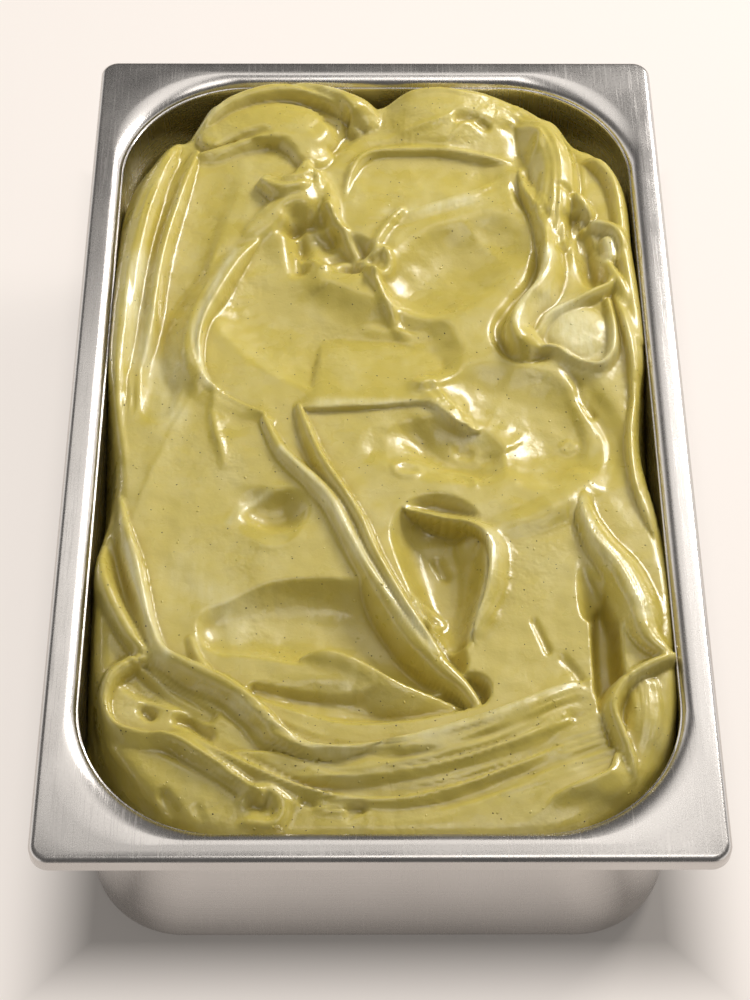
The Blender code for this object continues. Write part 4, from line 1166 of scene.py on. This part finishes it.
def lay_floor(settings):
    """A plain flat floor under the pan."""
    material, tree, shader = new_material("pale floor")
    position = add_node(tree, "ShaderNodeTexCoord").outputs["Object"]
    tint = mottle(tree, position, 1.2, 1.0, 0.0, 1.0)
    shade = [FLOOR_SHADE * part for part in settings.floor_colour]
    colour = mix_colours(tree, tint, settings.floor_colour, shade)
    tree.links.new(colour, shader.inputs["Base Color"])
    tree.links.new(colour, shader.inputs["Emission Color"])
    away_x = part_of(tree, position, "X").math("ABSOLUTE") - PAN_WIDTH / 2 + WALL_FOOT_INSET
    away_y = part_of(tree, position, "Y").math("ABSOLUTE") - PAN_LENGTH / 2 + WALL_FOOT_INSET
    away = away_x.math("MAXIMUM", away_y).math("MAXIMUM", 0.0)
    # The floor glows as painted light, and the glow fades to nothing at the pan's foot, painting a
    # shadow there
    glow = ramp(tree, away, GLOW_START, GLOW_END, settings.floor_glow)
    tree.links.new(glow.socket, shader.inputs["Emission Strength"])
    shader.inputs["Roughness"].default_value = 0.9
    shape = bmesh.new()
    bmesh.ops.create_grid(shape, x_segments=4, y_segments=4, size=settings.floor_size / 2)
    mesh = bpy.data.meshes.new("floor")
    shape.to_mesh(mesh)
    shape.free()
    mesh.materials.append(material)
    floor = bpy.data.objects.new("floor", mesh)
    bpy.context.scene.collection.objects.link(floor)


def ramp(tree, value, start, end, reached):
    """Rises smoothly from 0 at the start to what is reached at the end."""
    made = add_node(tree, "ShaderNodeMapRange", {
        "Value": value, "From Min": start, "From Max": end, "To Min": 0.0, "To Max": reached,
    }, interpolation_type="SMOOTHSTEP")
    return Field(tree, made.outputs["Result"])


def hang_light(name, place, size, power):
    light = bpy.data.lights.new(name, "AREA")
    light.shape = "RECTANGLE"
    light.size, light.size_y = size
    light.energy = power
    light.color = LIGHT_COLOUR
    lamp = bpy.data.objects.new(name, light)
    bpy.context.scene.collection.objects.link(lamp)
    lamp.location = place
    way = np.array(LIGHT_AIM) - np.array(place)
    back = -way / np.linalg.norm(way)
    side = np.cross((0.0, 0.0, 1.0), back)
    side /= np.linalg.norm(side)
    up = np.cross(back, side)
    lamp.rotation_euler = Matrix(np.stack((side, up, back), axis=-1).tolist()).to_euler()


def light_stage(settings):
    world = bpy.data.worlds.new("soft room")
    bpy.context.scene.world = world
    world.use_nodes = True
    tree = world.node_tree
    background = tree.nodes["Background"]
    background.inputs["Color"].default_value = (*settings.room_colour, 1.0)
    sky = add_node(tree, "ShaderNodeTexCoord").outputs["Generated"]
    height = part_of(tree, sky, "Z")
    low = ramp(tree, height, 0.50, 0.20, 1.0)
    beside = ramp(tree, part_of(tree, sky, "X").math("ABSOLUTE"), 0.45, 0.75, settings.wall_strength)
    overhead = ramp(tree, height, 0.74, 0.97, settings.ceiling_strength)
    strength = low * beside + overhead + settings.corner_strength
    tree.links.new(strength.socket, background.inputs["Strength"])
    for name, place, size, share in LIGHTS:
        hang_light(name, place, size, share * settings.key_power)


def place_camera(settings):
    """The camera stands in front and above, and looks down at the pan."""
    pitch, yaw, roll = settings.camera_pitch, settings.camera_yaw, settings.camera_roll
    ahead = np.array((math.sin(yaw) * math.cos(pitch), math.cos(yaw) * math.cos(pitch),
                      -math.sin(pitch)))
    right = np.array((math.cos(yaw), -math.sin(yaw), 0.0))
    up = np.cross(right, ahead)
    rolled_right = math.cos(roll) * right + math.sin(roll) * up
    rolled_up = math.cos(roll) * up - math.sin(roll) * right
    lens = bpy.data.cameras.new("camera")
    lens.lens = settings.camera_lens
    lens.sensor_width = 36.0
    camera = bpy.data.objects.new("camera", lens)
    bpy.context.scene.collection.objects.link(camera)
    camera.location = settings.camera_place
    turn = Matrix(np.stack((rolled_right, rolled_up, -ahead), axis=-1).tolist())
    camera.rotation_euler = turn.to_euler()
    bpy.context.scene.camera = camera


# Settings, operators and panel


def setting(name, description, default, kind=bpy.props.FloatProperty, **more):
    return kind(name=name, description=description, default=default, **more)


def colour_setting(name, description, default):
    return setting(name, description, default, bpy.props.FloatVectorProperty, subtype="COLOR",
                   min=0.0, max=1.0)


def share_setting(name, description, default):
    return setting(name, description, default, min=0.0, max=1.0, subtype="FACTOR")


def strength_setting(name, description, default):
    return setting(name, description, default, min=0.0, soft_max=5.0)


def length_setting(name, description, default):
    return setting(name, description, default, min=0.0, unit="LENGTH")


def angle_setting(name, description, degrees):
    return setting(name, description, math.radians(degrees), unit="ROTATION")


class PanSettings(bpy.types.PropertyGroup):
    sheet: length_setting("Sheet", "Thickness of the steel sheet", SHEET)
    corner_steps: setting("Corner steps", "Steps round each corner of the pan", 24,
                          bpy.props.IntProperty, min=4)
    steel_colour: colour_setting("Steel", "Colour of the steel", (0.60, 0.575, 0.555))
    steel_shade: colour_setting("Steel shade", "Colour of its darker patches", (0.53, 0.505, 0.485))
    steel_roughness: share_setting("Roughness", "Roughness of the satin finish", 0.24)
    brush_strength: share_setting("Brush strength", "Depth of the brushed grain", 0.5)


class GelatoSettings(bpy.types.PropertyGroup):
    gelato_colour: colour_setting("Gelato", "Colour of the pistachio paste", (0.570, 0.466, 0.098))
    # The paler colour, of paste aired by whipping and of painted sheen on crests and the pool
    pale_and_sheen_colour: colour_setting("Whipped", "Colour where it is whipped pale", (0.80, 0.74, 0.42))
    # Painted shade in the creases: its darker colour and how strongly it is laid on
    crease_shade_colour: colour_setting("Deep", "Colour in its creases", (0.33, 0.24, 0.02))
    crease_shade_strength: share_setting("Crease strength", "How deep the creases look", 0.55)
    crease_rounds: setting("Crease spread", "How widely creases are looked for", 12,
                           bpy.props.IntProperty, min=1)
    crease_depth: setting("Crease depth", "Millimetres that count as a full crease", 2.2, min=0.1)
    gelato_roughness: share_setting("Roughness", "Roughness of its moist surface", 0.33)
    streak_strength: share_setting("Streaks", "Depth of the combed streaks", 1.0)


class StrewnSettings(bpy.types.PropertyGroup):
    nut_density: setting("Nut density", "Specks of ground nut on a square metre", 6000.0)
    nut_least: length_setting("Smallest speck", "Its radius", 0.00020)
    nut_most: length_setting("Largest speck", "Its radius", 0.00058)
    bubble_density: setting("Bubble density", "Air bubbles on a square metre", 2600.0)
    bubble_least: length_setting("Smallest bubble", "Its radius", 0.0003)
    bubble_most: length_setting("Largest bubble", "Its radius", 0.0011)


class StageSettings(bpy.types.PropertyGroup):
    floor_size: length_setting("Floor", "Side of the floor", 60.0)
    floor_colour: colour_setting("Floor", "Colour of the floor", (0.222, 0.204, 0.189))
    room_colour: colour_setting("Room", "Colour of the room's light", (1.0, 0.975, 0.95))
    wall_strength: strength_setting("Walls", "Light from the walls beside the pan", 1.20)
    corner_strength: strength_setting("Corner", "Light from all the rest of the room", 0.13)
    ceiling_strength: strength_setting("Ceiling", "Added light from the ceiling", 0.12)
    floor_glow: strength_setting("Floor's glow", "Light that the lit floor gives off itself", 3.35)
    key_power: setting("Key light", "Power of the large soft light", 20.5, unit="POWER")
    camera_place: setting("Camera", "Where the camera stands", (-0.00939, -0.75099, 1.05904),
                          bpy.props.FloatVectorProperty, unit="LENGTH")
    camera_pitch: angle_setting("Pitch", "How far the camera looks down", 53.633)
    camera_yaw: angle_setting("Yaw", "How far it is turned to the right", 0.6363)
    camera_roll: angle_setting("Roll", "How far it leans", 0.4918)
    camera_lens: setting("Lens", "Focal length in millimetres", 82.17)


class GELATOPAN_OT_pan(bpy.types.Operator):
    """Press the steel pan"""

    bl_idname = "gelatopan.pan"
    bl_label = "Steel pan"

    def execute(self, context):
        make_pan(context.scene.gelatopan_pan)
        return {"FINISHED"}


class GELATOPAN_OT_gelato(bpy.types.Operator):
    """Fill the pan with worked gelato"""

    bl_idname = "gelatopan.gelato"
    bl_label = "Gelato"

    def execute(self, context):
        make_gelato(context.scene.gelatopan_gelato)
        return {"FINISHED"}


class GELATOPAN_OT_strewn(bpy.types.Operator):
    """Strew ground nut and air bubbles over the gelato"""

    bl_idname = "gelatopan.strewn"
    bl_label = "Nut and bubbles"

    def execute(self, context):
        gelato = bpy.data.objects.get("gelato_mass")
        if gelato is None:
            raise RuntimeError("make the gelato first")
        settings = context.scene.gelatopan_strewn
        strew("nut_specks", gelato, nut_material(), {
            "Density": settings.nut_density, "Least Size": settings.nut_least,
            "Most Size": settings.nut_most, "Flatness": 0.5, "Sunk": 0.2, "Sides": 1, "Seed": 7,
        })
        strew("air_bubbles", gelato, gelato.data.materials[0], {
            "Density": settings.bubble_density, "Least Size": settings.bubble_least,
            "Most Size": settings.bubble_most, "Flatness": 0.55, "Sunk": 0.45, "Sides": 2,
            "Seed": 23,
        })
        return {"FINISHED"}


class GELATOPAN_OT_stage(bpy.types.Operator):
    """Lay the floor, hang the lights and place the camera"""

    bl_idname = "gelatopan.stage"
    bl_label = "Stage"

    def execute(self, context):
        settings = context.scene.gelatopan_stage
        lay_floor(settings)
        light_stage(settings)
        place_camera(settings)
        return {"FINISHED"}


GROUPS = (
    ("gelatopan_pan", PanSettings, GELATOPAN_OT_pan),
    ("gelatopan_gelato", GelatoSettings, GELATOPAN_OT_gelato),
    ("gelatopan_strewn", StrewnSettings, GELATOPAN_OT_strewn),
    ("gelatopan_stage", StageSettings, GELATOPAN_OT_stage),
)


class GELATOPAN_PT_sidebar(bpy.types.Panel):
    bl_idname = "GELATOPAN_PT_sidebar"
    bl_label = "Gelato pan"
    bl_space_type = "VIEW_3D"
    bl_region_type = "UI"
    bl_category = "Gelato pan"

    def draw(self, context):
        for group_name, settings_class, operator_class in GROUPS:
            box = self.layout.box()
            box.operator(operator_class.bl_idname)
            settings = getattr(context.scene, group_name)
            for name in settings_class.__annotations__:
                box.prop(settings, name)


def register():
    for group_name, settings_class, operator_class in GROUPS:
        bpy.utils.register_class(settings_class)
        bpy.utils.register_class(operator_class)
        setattr(bpy.types.Scene, group_name, bpy.props.PointerProperty(type=settings_class))
    bpy.utils.register_class(GELATOPAN_PT_sidebar)


def unregister():
    bpy.utils.unregister_class(GELATOPAN_PT_sidebar)
    for group_name, settings_class, operator_class in reversed(GROUPS):
        delattr(bpy.types.Scene, group_name)
        bpy.utils.unregister_class(operator_class)
        bpy.utils.unregister_class(settings_class)


def main():
    register()
    bpy.context.scene.view_settings.view_transform = "Standard"
    bpy.ops.gelatopan.stage()
    bpy.ops.gelatopan.pan()
    bpy.ops.gelatopan.gelato()
    bpy.ops.gelatopan.strewn()


if __name__ == "__main__":
    main()
